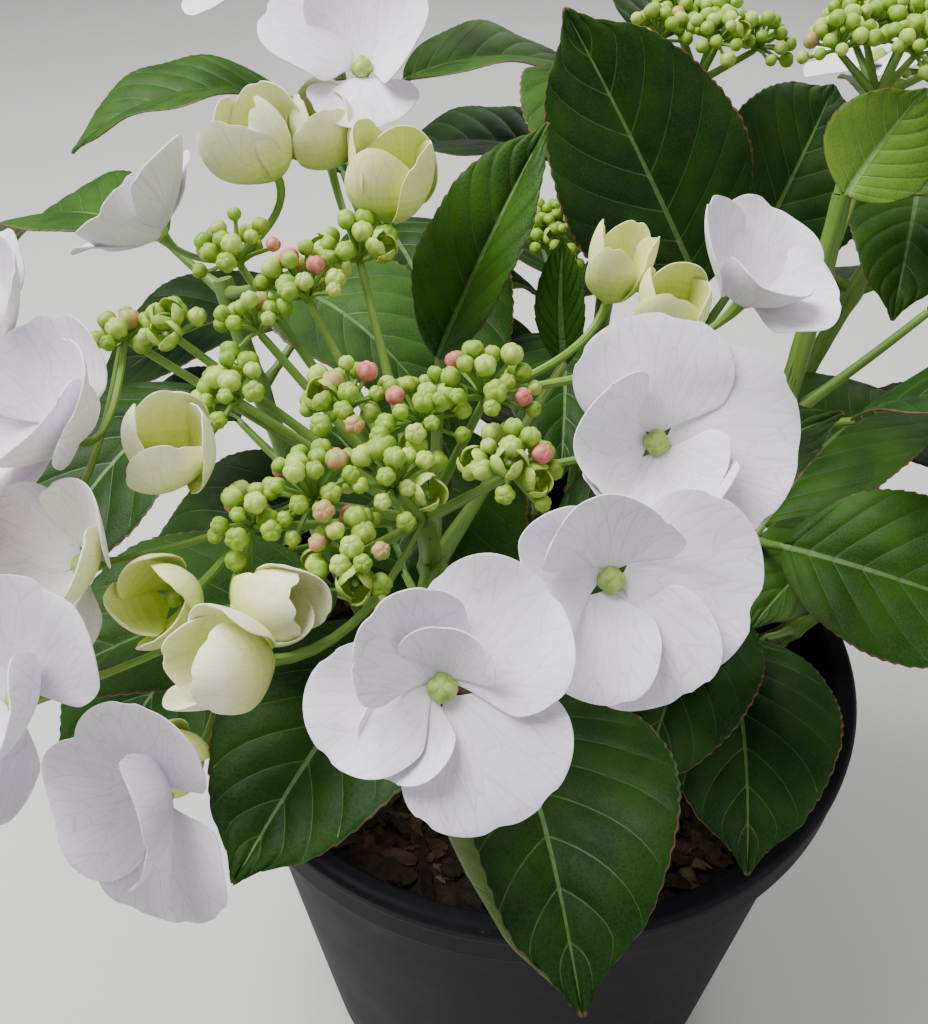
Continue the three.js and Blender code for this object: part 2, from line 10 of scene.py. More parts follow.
import bpy
import numpy as np
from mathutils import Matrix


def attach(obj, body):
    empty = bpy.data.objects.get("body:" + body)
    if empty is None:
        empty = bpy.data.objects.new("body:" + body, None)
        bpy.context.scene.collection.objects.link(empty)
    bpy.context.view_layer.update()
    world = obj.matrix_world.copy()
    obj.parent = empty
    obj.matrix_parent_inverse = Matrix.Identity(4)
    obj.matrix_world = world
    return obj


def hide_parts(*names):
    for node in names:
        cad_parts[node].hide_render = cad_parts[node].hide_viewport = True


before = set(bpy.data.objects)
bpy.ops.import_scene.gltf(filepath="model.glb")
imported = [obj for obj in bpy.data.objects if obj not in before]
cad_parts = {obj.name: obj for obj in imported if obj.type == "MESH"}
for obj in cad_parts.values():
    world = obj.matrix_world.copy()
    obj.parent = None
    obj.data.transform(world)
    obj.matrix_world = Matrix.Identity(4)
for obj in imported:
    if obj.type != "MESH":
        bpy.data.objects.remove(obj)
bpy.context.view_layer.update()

MM = 0.001
CLEARANCE = 0.3

# Degrees from one bud to the next, and a whole turn for a random phase
GOLDEN_TURN = 137.5
ROUND = 6.28

# The photo's view: place in millimetres, degrees down from level, and lens for a 36 mm film side
CAMERA_PLACE = (-30, -337, 598)
CAMERA_PITCH = 40
CAMERA_LENS = 38.67

# Pot and potting mix, with the sides and rings of their meshes
POT_HEIGHT = 240
POT_RIM_RADIUS = 140
POT_FOOT_RADIUS = 107
POT_NECK_RADIUS = 131
POT_WALL = 2.2
POT_FLOOR = 4
RIM_SKIRT = 22
RIM_LIP = 9
DRAIN_HOLES = 8
DRAIN_RADIUS = 6
DRAIN_RING_RADIUS = 84
POT_SIDES = 160
MIX_LEVEL = 215
MIX_RINGS = 50
MIX_SIDES = 150
CHIPS = 740

# Limbs: radius from foot to tip, and rings and sides
CANE_RADII = (5.6, 4.4)
CANE_MESH = (66, 20)
SHOOT_RADII = (4.2, 3.2)
SHOOT_MESH = (90, 16)
STALK_RADII = (3.0, 2.6)
STALK_MESH = (26, 14)
PETIOLE_RADII = (1.9, 1.35)
PETIOLE_MESH = (16, 12)
RAY_RADII = (1.5, 1.0)
RAY_MESH = (12, 10)
PEDICEL_RADIUS = 0.85
BUD_PEDICEL_RADIUS = 0.55

# Leaves, in shares of their length or width, or in millimetres. Their rows follow the side veins, which
# sweep towards the tip. A leaf of the rule is tried at each size of LEAF_TRIALS.
LEAF_WIDTH_RATIO = 0.64
LEAF_PEAK = 0.85  # below 1 it is widest nearer its base
LEAF_ROUNDNESS = 0.7  # below 1 it is fuller towards both ends
LEAF_FOLD = 14
PETIOLE_LENGTH = 26
LEAF_TRIALS = (1, 0.76, 0.56)
LEAF_MATCH = 1.5  # a leaf stands where a point of the solid is this near its tip
LEAF_SKIN = 0.32
VEIN_SWEEP = (0.35, 0.7)
SIDE_VEINS = np.array((0.035, 0.1, 0.19, 0.3, 0.43, 0.57, 0.71, 0.84))
VEIN_HALF = 0.0036
LEAF_ROWS = 76
TIP_ROWS = (0.955, 0.968, 0.98, 0.99, 0.998)
LEAF_COLUMNS = np.array((0.035, 0.11, 0.21, 0.33, 0.46, 0.59, 0.71, 0.82, 0.92, 0.984, 1.0))
TOOTH = 0.95
TOOTH_PITCH = 3.6
LEAF_QUILT = 0.0075
LEAF_WAVE = 0.016
LEAF_SICKLE = 0.02

# Leaves that differ from the rest: where across the blade its left side rolls up, tone, degrees of fold
LEAF_SHAPES = {0: dict(roll=0.74), 4: dict(tone="leaf_dark"), 5: dict(fold=34)}

# Florets and buds
SEPAL_SKIN = 0.26
SEPAL_CLAW = 1.7
SEPAL_GRID = 23
CUP_GRID = 19
BUD_CUP_GRID = 7
CUP_SEPALS = 4
SOCKET_STEP = 0.05  # share of the way from socket to eye at which a pedicel starts
RULED_SPREAD = 10
RING_GAP = 11  # from the outermost clusters to the ring of open florets
EYE_RADIUS = 3.0
BUD_RADIUS = 2.5
BUD_RIBS = 5
BUD_SPACING = 2.4
BUD_CHANCES = ((0.58, "bud_green"), (0.86, "bud_pale"), (0.96, "bud_blush"), (1, "bud_pink"))
PINK_START = 0.88  # the chances of the ruled heads end here
OPENING_CHANCE = 0.08
OPENING_LENGTH = 6.5
SMALL_CUP = 12  # shorter sepals are green, on a bud's pedicel

# Every leaf, floret and cluster has a number, which seeds its shape
LEAVES_EACH = 20
FLORETS_EACH = 50
CUPS_FROM = 20
CLUSTERS_EACH = 40
FRONT_BUDS_END = 80
SHOOT_SEED = 200
HEAD_SEED = 300

# Colours of half-open sepals: the first is green, the last ivory
SEPAL_GREEN = (0.44, 0.55, 0.06)
SEPAL_MIDDLE = (0.78, 0.82, 0.3)
SEPAL_IVORY = (0.93, 0.92, 0.66)
SEPAL_SHADES = 9


# A leaf: place on the shoot, start and end of its blade, its width, arch and the way it faces
Leaf = namedtuple("Leaf", "at base tip width arch face", defaults=((0, 0, 1),))

# A shoot and its cane: the cane's foot and tip, the point that the shoot bends through, and its top. Leaves
# that are not placed one by one are pairs by a rule: start and end along the shoot, number of pairs, first
# turn in degrees, length, and pitch in degrees.
Shoot = namedtuple("Shoot", "name foot tip through top pairs leaves", defaults=((), ()))

# A head. An open floret is the place of its eye, the way it looks and its sepals: angle round the eye,
# length, width and rise in degrees. A half-open one, in cups, is eye, way it looks and sepal length. A
# cluster is its middle and its spread.
Head = namedtuple("Head", "name shoot top open cups clusters")

SHOOTS = (
    Shoot(
        "front", (-14, -26), (-33, -84, 316), (-37, -102, 356), (-39, -116, 397),
        leaves=(
            Leaf(0.14, (-20, -128, 350), (-3, -219, 349), 74, 13, (0.05, -0.45, 0.9)),
            Leaf(0.14, (-50, -64, 342), (-84, 14, 346), 62, 12),
            Leaf(0.55, (-66, -116, 384), (-142, -150, 380), 60, 8),
            Leaf(0.55, (-6, -112, 388), (74, -89, 425), 52, 6),
            Leaf(0.93, (-44, -160, 414), (-77, -214, 396), 50, 4, (-0.3, -0.5, 0.8)),
            Leaf(0.93, (-37, -78, 436), (-8, -54, 492), 36, 4, (-0.6, -0.75, 0.2)),
            Leaf(0.93, (-3, -84, 438), (-4, -70, 468), 14, 2, (-0.2, -0.9, 0.4)),
        ),
    ),
    Shoot(
        "centre", (18, 14), (46, 15, 330), (57, 6, 388), (52, 42, 452),
        leaves=(
            Leaf(0.42, (50, -2, 416), (0, 12, 502), 66, 3, (0.1, -0.9, 0.45)),
            Leaf(0.42, (72, 26, 408), (112, 92, 452), 64, 6, (0.2, -0.6, 0.75)),
        ),
    ),
    Shoot(
        "right", (36, -20), (64, -33, 296), (76, -38, 350), (89, -8, 452), (0.1, 0.6, 2, 50, 100, 8),
        leaves=(
            Leaf(0.06, (60, -70, 318), (55, -154, 302), 62, 12, (0, -0.4, 0.9)),
            Leaf(0.2, (50, -62, 336), (20, -142, 322), 52, 10, (0, -0.4, 0.9)),
            Leaf(0.3, (76, -64, 354), (152, -102, 350), 60, 8, (0, -0.5, 0.86)),
            Leaf(0.6, (118, -27, 421), (192, -14, 410), 56, 10, (0, -0.5, 0.86)),
            Leaf(0.86, (86, -19, 457), (105, -11, 486), 37, -6, (-0.2, -0.95, 0.2)),
            Leaf(0.86, (98, 6, 446), (142, 26, 448), 30, 4, (0, -0.3, 0.95)),
        ),
    ),
    Shoot("back_low", (-2, 30), (3, 52, 262), (6, 70, 320), (13, 80, 374), (0.1, 0.8, 3, 90, 112, -26)),
    Shoot("back_left", (-26, 22), (-48, 54, 266), (-66, 86, 350), (-82, 132, 440),
          (0.05, 0.92, 5, 20, 124, -28)),
    Shoot("left", (-38, -4), (-72, -6, 264), (-98, -4, 330), (-116, 16, 410), (0.05, 0.97, 5, 142, 122, -26)),
    Shoot("back", (12, 42), (24, 78, 268), (34, 106, 350), (46, 150, 446), (0.05, 0.92, 5, 75, 124, -26)),
    Shoot("back_right", (42, 20), (82, 45, 266), (114, 58, 340), (152, 78, 430),
          (0.05, 0.92, 5, 75, 124, -28)),
    Shoot("low_right", (56, -6), (104, -14, 258), (124, -18, 286), (138, -18, 318), (0.1, 1, 3, 40, 112, -24)),
)

FRONT_HEAD = Head(
    name="flower_head_front",
    shoot="front",
    top=(-40, -132, 424),
    open=(
        ((13, -139, 452), (-0.15, -0.76, 0.62),
         ((100, 29, 36, 16), (183, 24, 31, 45), (282, 23, 36, 36), (8, 31, 42, 6))),
        ((0, -174, 443), (-0.05, -0.72, 0.68),
         ((168, 24, 27, 34), (98, 22, 31, 42), (2, 30, 38, 8), (262, 26, 25, 14), (300, 28, 30, 4))),
        ((-34, -201, 441), (-0.05, -0.62, 0.76),
         ((132, 23, 27, 40), (200, 26, 26, 12), (45, 28, 33, 16), (306, 28, 35, -2))),
        ((40, -92, 462), (0.3, -0.35, 0.88),
         ((110, 28, 28, 40), (30, 28, 32, 20), (235, 20, 26, 60), (320, 24, 30, 28))),
        ((-57, -40, 501), (0, -0.4, 0.92),
         ((165, 29, 31, 24), (85, 27, 34, 36), (12, 26, 30, 46), (275, 22, 30, 4))),
        ((-109, -72, 470), (-0.6, 0.1, 0.8),
         ((90, 28, 28, 35), (180, 26, 28, 20), (270, 24, 28, 25), (0, 24, 26, 45))),
        ((-138, -115, 466), (-0.5, -0.3, 0.8),
         ((60, 26, 28, 35), (150, 26, 28, 20), (240, 24, 28, 20), (330, 24, 26, 30))),
        ((-116, -142, 456), (-0.35, -0.45, 0.82),
         ((35, 29, 30, 48), (130, 28, 32, 30), (215, 28, 32, 12), (318, 28, 34, 60))),
        ((-110, -165, 439), (-0.4, -0.72, 0.56),
         ((80, 22, 24, 30), (170, 24, 26, 15), (255, 24, 26, 15), (345, 24, 28, 62))),
        ((-116, -196, 432), (-0.3, -0.72, 0.62),
         ((75, 28, 34, 22), (345, 27, 32, 62), (250, 26, 32, 14), (165, 28, 34, 10))),
        ((-94, -197, 402), (-0.35, -0.8, 0.5),
         ((95, 26, 32, 24), (12, 26, 30, 66), (205, 29, 34, 6), (290, 28, 36, 4))),
        ((-136, -154, 434), (-0.7, -0.4, 0.6),
         ((70, 24, 26, 25), (160, 24, 26, 20), (250, 24, 26, 15), (340, 22, 24, 30))),
    ),
    cups=(
        ((-80, -58, 481), (-0.35, -0.2, 0.92), 23),
        ((-49, -75, 477), (0.1, -0.1, 0.99), 22),
        ((-96, -142, 447), (0.15, -0.35, 0.92), 22),
        ((-92, -168, 432), (-0.3, -0.7, 0.65), 19),
        ((-76, -172, 434), (0.8, -0.4, 0.4), 19),
        ((-70, -188, 434), (-0.7, -0.5, 0.45), 20),
        ((6, -94, 464), (0.2, 0, 0.98), 19),
        ((19, -105, 463), (0, -0.3, 0.95), 19),
        ((-66, -51, 481), (-0.1, -0.2, 0.97), 20),
        ((-90, -186, 402), (-0.5, -0.7, 0.5), 14),
    ),
    clusters=(
        (-65, -152, 451, 11), (-55, -164, 443, 9), (-46, -149, 452, 11),
        (-40, -132, 459, 11), (-24, -127, 463, 11), (-18, -146, 454, 10),
        (-58, -128, 460, 10), (-70, -94, 471, 11), (-57, -83, 476, 10),
        (-88, -85, 475, 10), (-101, -107, 465, 8), (-85, -124, 459, 9),
        (-114, -104, 462, 7), (-78, -158, 447, 8), (-81, -106, 467, 9),
    ),
)

# The other heads follow a rule, clusters on a dome and a ring of open florets: name, shoot, top, reach,
# rise, number of clusters and number of open florets
RULED_HEADS = (
    ("bud_head_right", "right", (100, 10, 479), 25, 16, 7, 0),
    ("bud_head_centre", "centre", (50, 48, 470), 24, 16, 7, 0),
    ("bud_head_back_low", "back_low", (13, 82, 386), 18, 12, 5, 0),
    ("bud_head_back_left", "back_left", (-96, 150, 462), 30, 18, 7, 3),
    ("flower_head_back", "back", (54, 164, 468), 36, 22, 8, 7),
    ("bud_head_back_right", "back_right", (160, 84, 448), 28, 16, 7, 2),
)

# Florets of the front head that differ from the rest, by number. First, small inner sepals besides the others
INNER_LOBES = {52: ((76, 16, 20, 50), (238, 20, 19, 10)), 50: ((312, 20, 27, 34),)}

# Half-open florets: scale, width, and degrees that their sepals close by and stand out by at the claw
CUP_SHAPES = {
    70: (1.05, 0.9, 112, 26),
    71: (1.0, 1.0, 96, 32),
    72: (0.95, 0.95, 102, 28),
    73: (0.85, 1.0, 106, 24),
    74: (0.95, 1.0, 92, 38),
    75: (0.95, 0.9, 76, 36),
    76: (0.95, 0.72, 66, 42),
    77: (0.85, 1.0, 104, 30),
    78: (1.0, 1.0, 96, 28),
}
LIME_CUPS = (71, 73, 76, 77, 79)

# Sepals of open florets that are still ivory, by place among the floret's sepals
YOUNG_SEPALS = ((58, 3),)

# Florets whose stalk starts at the top of the head's own stalk
LOW_STALKS = (59, 75)

# Paints of a sepal from claw to tip, and where each ends
OPEN_PAINTS = ((9, "sepal_white"),)
IVORY_PAINTS = tuple((0.12 + 0.1 * i, f"sepal_{i + 1}") for i in range(7)) + ((9, "sepal_8"),)
LIME_PAINTS = tuple((0.16 + 0.12 * i, f"sepal_{i}") for i in range(5)) + ((9, "sepal_5"),)
GREEN_PAINTS = ((0.5, "bud_green"), (9, "bud_pale"))


def vec(*p):
    return np.array(p, float)


def turned(turn, reach=1, height=0):
    """A point at an angle round the axis, at a distance from it and a height."""
    return vec(reach * math.cos(turn), reach * math.sin(turn), height)


def unit(v):
    return v / np.maximum(np.linalg.norm(v, axis=-1, keepdims=True), 1e-9)


def smooth(low, high, value):
    """Goes smoothly from 0 at low to 1 at high."""
    share = np.clip((value - low) / (high - low), 0, 1)
    return share * share * (3 - 2 * share)


def hump(value, middle, width):
    """Rises smoothly to 1 about a middle."""
    return np.exp(-(((value - middle) / width) ** 2))


def around(count):
    """Even angles round a circle."""
    return np.arange(count) * 2 * math.pi / count


def stacked(*parts):
    """Points or faces from their coordinates or corners, stretched to one grid."""
    return np.stack(np.broadcast_arrays(*parts), axis=-1)


def seeded(seed):
    """The solids' own seeded numbers between 0 and 1."""
    mask = 0xFFFFFFFF
    state = [seed & mask]

    def draw():
        state[0] = (state[0] + 0x6D2B79F5) & mask
        mixed = ((state[0] ^ (state[0] >> 15)) * (state[0] | 1)) & mask
        mixed ^= (mixed + (((mixed ^ (mixed >> 7)) * (mixed | 61)) & mask)) & mask
        return ((mixed ^ (mixed >> 14)) & mask) / 4294967296

    return draw


def ripples(points, size, seed, waves=9):
    """Smooth noise between about -1 and 1, with bumps of a given size: waves in seeded directions."""
    rng = np.random.default_rng(seed)
    total = np.zeros(points.shape[:-1])
    for _ in range(waves):
        way = unit(rng.normal(size=3)) * (2 * math.pi / size) * rng.uniform(0.6, 1.6)
        total += np.sin(points @ way + rng.uniform(0, 2 * math.pi))
    return total / math.sqrt(waves)


def bezier(*points):
    """A curve from the first point to the last that bends towards those between."""
    degree = len(points) - 1

    def at(t):
        t = np.asarray(t, float)[..., None]
        shares = [math.comb(degree, k) * (1 - t) ** (degree - k) * t**k for k in range(degree + 1)]
        return sum(share * point for share, point in zip(shares, points))

    return at


# Materials

PAINTS = {}

# Colour of a stem's specks, and how far its pattern is drawn out
STEM_SPECK = (0.05, 0.03, 0.02)
STEM_GRAIN = (1, 0.12, 1)


def surface(material):
    return material.node_tree.nodes["Principled BSDF"].inputs


def paint(name, base, roughness, sheen=0.0, specular=0.5, subsurface=0.0):
    """A named material before it gets its pattern."""
    material = bpy.data.materials.new(name)
    material.use_nodes = True
    for key, value in (
        ("Base Color", (*base, 1)),
        ("Roughness", roughness),
        ("Sheen Weight", sheen),
        ("Specular IOR Level", specular),
        ("Subsurface Weight", subsurface),
        ("Subsurface Radius", (0.6, 0.8, 0.5)),
        ("Subsurface Scale", 0.002),
    ):
        surface(material)[key].default_value = value
    PAINTS[name] = material
    return material


def node(material, kind, **values):
    made = material.node_tree.nodes.new(kind)
    for key, value in values.items():
        if key in made.inputs:
            made.inputs[key].default_value = value
        else:
            setattr(made, key, value)
    return made


def link(material, source, target):
    material.node_tree.links.new(source, target)


def place_vector(material, grain, stretch=(1, 1, 1)):
    """Coordinates in millimetres: the piece's own grain, or its place on the plant."""
    mapping = node(material, "ShaderNodeMapping")
    mapping.inputs["Scale"].default_value = stretch
    if grain:
        source = node(material, "ShaderNodeAttribute", attribute_name="grain").outputs["Vector"]
    else:
        mapping.inputs["Scale"].default_value = tuple(value / MM for value in stretch)
        source = node(material, "ShaderNodeTexCoord").outputs["Object"]
    link(material, source, mapping.inputs["Vector"])
    return mapping.outputs["Vector"]


def ranged(material, factor, start, end, low, high):
    """A pattern's values from start to end, carried over to low to high."""
    ramp = node(material, "ShaderNodeMapRange")
    for key, value in (("From Min", start), ("From Max", end), ("To Min", low), ("To Max", high)):
        ramp.inputs[key].default_value = value
    link(material, factor, ramp.inputs["Value"])
    return ramp.outputs["Result"]


def blend_colours(material, factor, low, high, start=0.35, end=0.65, under=None, most=1.0):
    """Base colour that goes from low to high with a pattern, or from what is already there to high."""
    mix = node(material, "ShaderNodeMix", data_type="RGBA")
    link(material, ranged(material, factor, start, end, 0, most), mix.inputs["Factor"])
    if under is None:
        mix.inputs["A"].default_value = (*low, 1)
    else:
        link(material, under, mix.inputs["A"])
    mix.inputs["B"].default_value = (*high, 1)
    link(material, mix.outputs["Result"], surface(material)["Base Color"])
    return mix.outputs["Result"]


def noise(material, size, grain=False, stretch=(1, 1, 1), detail=3.0, roughness=0.55):
    """Noise with features of a size in millimetres."""
    made = node(material, "ShaderNodeTexNoise", Scale=1 / size, Detail=detail, Roughness=roughness)
    link(material, place_vector(material, grain, stretch), made.inputs["Vector"])
    return made.outputs["Fac"]


def cells(material, size, grain=False, stretch=(1, 1, 1)):
    """Distance to the edges of cells of a size in millimetres."""
    made = node(material, "ShaderNodeTexVoronoi", Scale=1 / size, feature="DISTANCE_TO_EDGE")
    link(material, place_vector(material, grain, stretch), made.inputs["Vector"])
    return made.outputs["Distance"]


def bump(material, height, distance, strength=0.6, over=None):
    """Fine relief of a depth in millimetres, on top of another relief where one is given."""
    made = node(material, "ShaderNodeBump", Strength=strength, Distance=distance * MM)
    link(material, height, made.inputs["Height"])
    if over is not None:
        link(material, over, made.inputs["Normal"])
    link(material, made.outputs["Normal"], surface(material)["Normal"])
    return made.outputs["Normal"]


def rough_pattern(material, factor, low, high):
    link(material, ranged(material, factor, 0, 1, low, high), surface(material)["Roughness"])


def leaf_paint(name, dark, light, net, roughness):
    """Leaf tissue: patches of tone, a net of the finest veins, and a soft gloss."""
    material = paint(name, light, roughness, specular=0.15)
    tone = blend_colours(material, noise(material, 16, grain=True, detail=2), dark, light)
    mesh = cells(material, 1.3, grain=True)
    blend_colours(material, mesh, None, net, start=0.13, end=0.0, under=tone, most=0.4)
    relief = bump(material, mesh, 0.2, strength=0.45)
    bump(material, noise(material, 0.6, grain=True, detail=1), 0.12, strength=0.4, over=relief)
    rough_pattern(material, noise(material, 5, grain=True, detail=1), roughness - 0.08, roughness + 0.12)


def sepal_paint(name, pale, shade, vein, vein_depth):
    """Petal tissue: long fine meshes that fan out from the claw, and patches of tone."""
    material = paint(name, pale, 0.6, sheen=0.15, specular=0.25, subsurface=0.12)
    tone = blend_colours(material, noise(material, 9, grain=True, detail=2), pale, shade)
    coarse = cells(material, 3.6, True, (1, 0.3, 1))
    veined = blend_colours(material, coarse, None, vein, start=0.05, end=0.0, under=tone)
    fine = cells(material, 1.5, True, (1, 0.5, 1))
    faint = (vec(*vein) + 2 * vec(*pale)) / 3
    blend_colours(material, fine, None, faint, start=0.08, end=0.0, under=veined)
    bump(material, coarse, vein_depth, strength=0.4)


def tissue_paint(name, low, high, size, roughness, speck=None, stretch=(1, 1, 1), depth=0.15):
    """Green stems and buds: patches of tone, small specks and fine relief."""
    material = paint(name, high, roughness, specular=0.4)
    tone = blend_colours(material, noise(material, size, grain=True, stretch=stretch), low, high)
    if speck:
        fleck = noise(material, 0.9, grain=True, stretch=stretch, detail=1)
        blend_colours(material, fleck, None, speck, start=0.66, end=0.74, under=tone)
    bump(material, noise(material, size / 4, grain=True, stretch=stretch), depth, strength=0.5)


def make_paints():
    leaf_paint("leaf_dark", (0.0055, 0.026, 0.0015), (0.014, 0.05, 0.0025), (0.024, 0.07, 0.005), 0.52)
    leaf_paint("leaf_mid", (0.012, 0.047, 0.002), (0.029, 0.088, 0.004), (0.044, 0.115, 0.008), 0.54)
    leaf_paint("leaf_fresh", (0.06, 0.145, 0.012), (0.11, 0.215, 0.022), (0.14, 0.26, 0.04), 0.5)
    leaf_paint("leaf_under", (0.075, 0.14, 0.026), (0.11, 0.18, 0.036), (0.125, 0.2, 0.045), 0.58)
    sepal_paint("sepal_white", (0.85, 0.795, 0.87), (0.8, 0.745, 0.83), (0.67, 0.615, 0.71), 0.2)
    steps = (0, SEPAL_SHADES // 2, SEPAL_SHADES - 1)
    for i in range(SEPAL_SHADES):
        pale = vec(*(np.interp(i, steps, ends) for ends in zip(SEPAL_GREEN, SEPAL_MIDDLE, SEPAL_IVORY)))
        sepal_paint(f"sepal_{i}", pale, pale * (0.9, 0.93, 0.8), pale * (0.82, 0.87, 0.66), 0.15)
    for tissue in (
        ("leaf_vein", (0.024, 0.07, 0.009), (0.045, 0.11, 0.016), 3, 0.55),
        ("leaf_rib", (0.055, 0.12, 0.02), (0.09, 0.18, 0.034), 3, 0.55),
        ("leaf_vein_pale", (0.17, 0.27, 0.07), (0.24, 0.36, 0.1), 3, 0.5),
        ("leaf_margin", (0.028, 0.06, 0.01), (0.15, 0.045, 0.022), 14, 0.55),
        ("eye_green", (0.22, 0.36, 0.05), (0.42, 0.56, 0.13), 2, 0.5),
        ("bud_green", (0.18, 0.33, 0.02), (0.33, 0.48, 0.045), 2.4, 0.5),
        ("bud_pale", (0.3, 0.46, 0.045), (0.48, 0.6, 0.12), 2.4, 0.5),
        ("bud_pink", (0.5, 0.1, 0.1), (0.62, 0.26, 0.17), 1.8, 0.5),
        ("bud_blush", (0.25, 0.4, 0.05), (0.6, 0.26, 0.16), 2.2, 0.5),
        ("stem_green", (0.085, 0.17, 0.02), (0.16, 0.275, 0.042), 5, 0.45, STEM_SPECK, STEM_GRAIN),
        ("stem_pale", (0.12, 0.24, 0.03), (0.22, 0.36, 0.06), 4, 0.5, None, STEM_GRAIN),
    ):
        tissue_paint(*tissue)
    make_bark_paint()
    make_pot_paint()
    for name, low, high in (
        ("mix_dark", (0.012, 0.008, 0.006), (0.035, 0.022, 0.014)),
        ("chip_dark", (0.012, 0.008, 0.006), (0.03, 0.019, 0.012)),
        ("chip_brown", (0.026, 0.016, 0.01), (0.07, 0.042, 0.024)),
        ("chip_tan", (0.06, 0.038, 0.022), (0.14, 0.09, 0.052)),
    ):
        material = paint(name, high, 0.9, specular=0.2)
        blend_colours(material, noise(material, 4, detail=5), low, high)
        bump(material, noise(material, 1.4, detail=5), 0.9, strength=0.8)


def make_bark_paint():
    material = paint("bark", (0.2, 0.125, 0.065), 0.85, specular=0.2)
    along = (1, 0.1, 1)
    fibres = noise(material, 4, True, along, 4)
    tone = blend_colours(material, fibres, (0.075, 0.042, 0.022), (0.24, 0.155, 0.085))
    grey = noise(material, 14, True, (1, 0.4, 1))
    blend_colours(material, grey, None, (0.3, 0.25, 0.19), start=0.52, end=0.7, under=tone)
    relief = bump(material, noise(material, 1.6, True, along, 5), 0.8, strength=0.9)
    bump(material, cells(material, 5, True, (1, 0.16, 1)), 0.5, strength=0.5, over=relief)
    scar = paint("bark_scar", (0.07, 0.045, 0.03), 0.9, specular=0.2)
    blend_colours(scar, noise(scar, 2), (0.04, 0.025, 0.018), (0.11, 0.075, 0.045))
    bump(scar, noise(scar, 0.8), 0.4)


def make_pot_paint():
    """Moulded dark plastic: fine grain, flow marks, dust that lies in patches and small scratches."""
    material = paint("pot_plastic", (0.006, 0.006, 0.009), 0.55, specular=0.12)
    dust = noise(material, 38, detail=6, roughness=0.62)
    clean, dusty = (0.0045, 0.0045, 0.007), (0.011, 0.011, 0.015)
    tone = blend_colours(material, dust, clean, dusty, start=0.4, end=0.7)
    specks = noise(material, 2.2, detail=2)
    blend_colours(material, specks, None, (0.05, 0.045, 0.038), start=0.71, end=0.82, under=tone)
    grain = bump(material, noise(material, 0.8, detail=2), 0.12, strength=0.35)
    flow = noise(material, 9, stretch=(0.12, 0.12, 1))
    marks = bump(material, flow, 0.3, strength=0.25, over=grain)
    bump(material, noise(material, 3.5, stretch=(1, 1, 0.06), detail=1), 0.12, strength=0.2, over=marks)
    rough_pattern(material, dust, 0.46, 0.74)


# Meshes


def placed(name, data):
    made = bpy.data.objects.new(name, data)
    bpy.context.scene.collection.objects.link(made)
    return made


class Skin:
    """Closed shells collected into one mesh. A face has four corners, or three and a -1."""

    def __init__(self, name):
        self.name = name
        self.count = 0
        self.palette = []
        self.points, self.faces, self.paints, self.grains = [], [], [], []

    def index(self, name):
        if name not in self.palette:
            self.palette.append(name)
        return self.palette.index(name)

    def add(self, points, faces, paints, grain):
        self.points.append(points)
        self.faces.append(np.where(faces >= 0, faces + self.count, -1))
        self.paints.append(np.broadcast_to(paints, len(faces)))
        self.grains.append(np.broadcast_to(grain, points.shape))
        self.count += len(points)

    def build(self, replaces=(), crease=42):
        points = np.concatenate(self.points) * MM
        faces = np.concatenate(self.faces)
        corners = faces[faces >= 0]
        sizes = (faces >= 0).sum(axis=1)
        mesh = bpy.data.meshes.new(self.name)
        mesh.vertices.add(len(points))
        mesh.vertices.foreach_set("co", points.ravel())
        mesh.loops.add(len(corners))
        mesh.loops.foreach_set("vertex_index", corners.astype(np.int32))
        mesh.polygons.add(len(faces))
        starts = np.concatenate(([0], np.cumsum(sizes)[:-1]))
        paints = np.concatenate(self.paints)
        for key, values in (("loop_start", starts), ("loop_total", sizes), ("material_index", paints)):
            mesh.polygons.foreach_set(key, values.astype(np.int32))
        mesh.polygons.foreach_set("use_smooth", np.ones(len(faces), bool))
        mesh.update(calc_edges=True)
        grain = mesh.attributes.new("grain", "FLOAT_VECTOR", "POINT")
        grain.data.foreach_set("vector", np.concatenate(self.grains).astype(np.float32).ravel())
        for name in self.palette:
            mesh.materials.append(PAINTS[name])
        mesh.set_sharp_from_angle(angle=math.radians(crease))
        made = placed(self.name, mesh)
        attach(made, "root")
        if replaces:
            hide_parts(*replaces)
        return made


def grid_faces(index):
    """Faces between the points of a grid, in the order that faces across x along."""
    return stacked(index[:-1, :-1], index[:-1, 1:], index[1:, 1:], index[1:, :-1]).reshape(-1, 4)


def ringed(rings, first, last):
    """Points and faces of a closed shell: from a first point through rings of points to a last one."""
    count, sides = rings.shape[:2]
    index = np.arange(count * sides).reshape(count, sides)
    following = np.roll(index, -1, axis=1)
    wrapped = np.concatenate([index, index[:, :1]], axis=1)
    near = stacked(index.size, following[0], index[0], -1)
    far = stacked(index.size + 1, index[-1], following[-1], -1)
    points = np.concatenate([rings.reshape(-1, 3), [first, last]])
    return points, np.concatenate([grid_faces(wrapped), near, far])


def blade(skin, middle, above, below, top_paint, under_paint, rim_paint, grain):
    """A thin closed shell round a grid of points, with its two skins at a distance from the grid."""
    rows, columns = middle.shape[:2]
    normal = unit(np.cross(np.gradient(middle, axis=0), np.gradient(middle, axis=1)))
    top = middle + normal * above[..., None]
    under = middle - normal * below[..., None]
    count = rows * columns
    index = np.arange(count).reshape(rows, columns)
    faces = grid_faces(index)
    rim = np.concatenate([index[0], index[1:, -1], index[-1, -2::-1], index[-2:0:-1, 0]])
    following = np.roll(rim, -1)
    border = stacked(rim, following, following + count, rim + count)
    every = np.concatenate([faces[:, ::-1], faces + count, border])
    shape = (rows - 1, columns - 1)
    paints = [np.broadcast_to(tone, shape).ravel() for tone in (top_paint, under_paint)]
    paints = np.concatenate([*paints, np.full(len(rim), rim_paint)])
    points = np.concatenate([top.reshape(-1, 3), under.reshape(-1, 3)])
    skin.add(points, every, paints, np.concatenate([grain.reshape(-1, 3)] * 2))


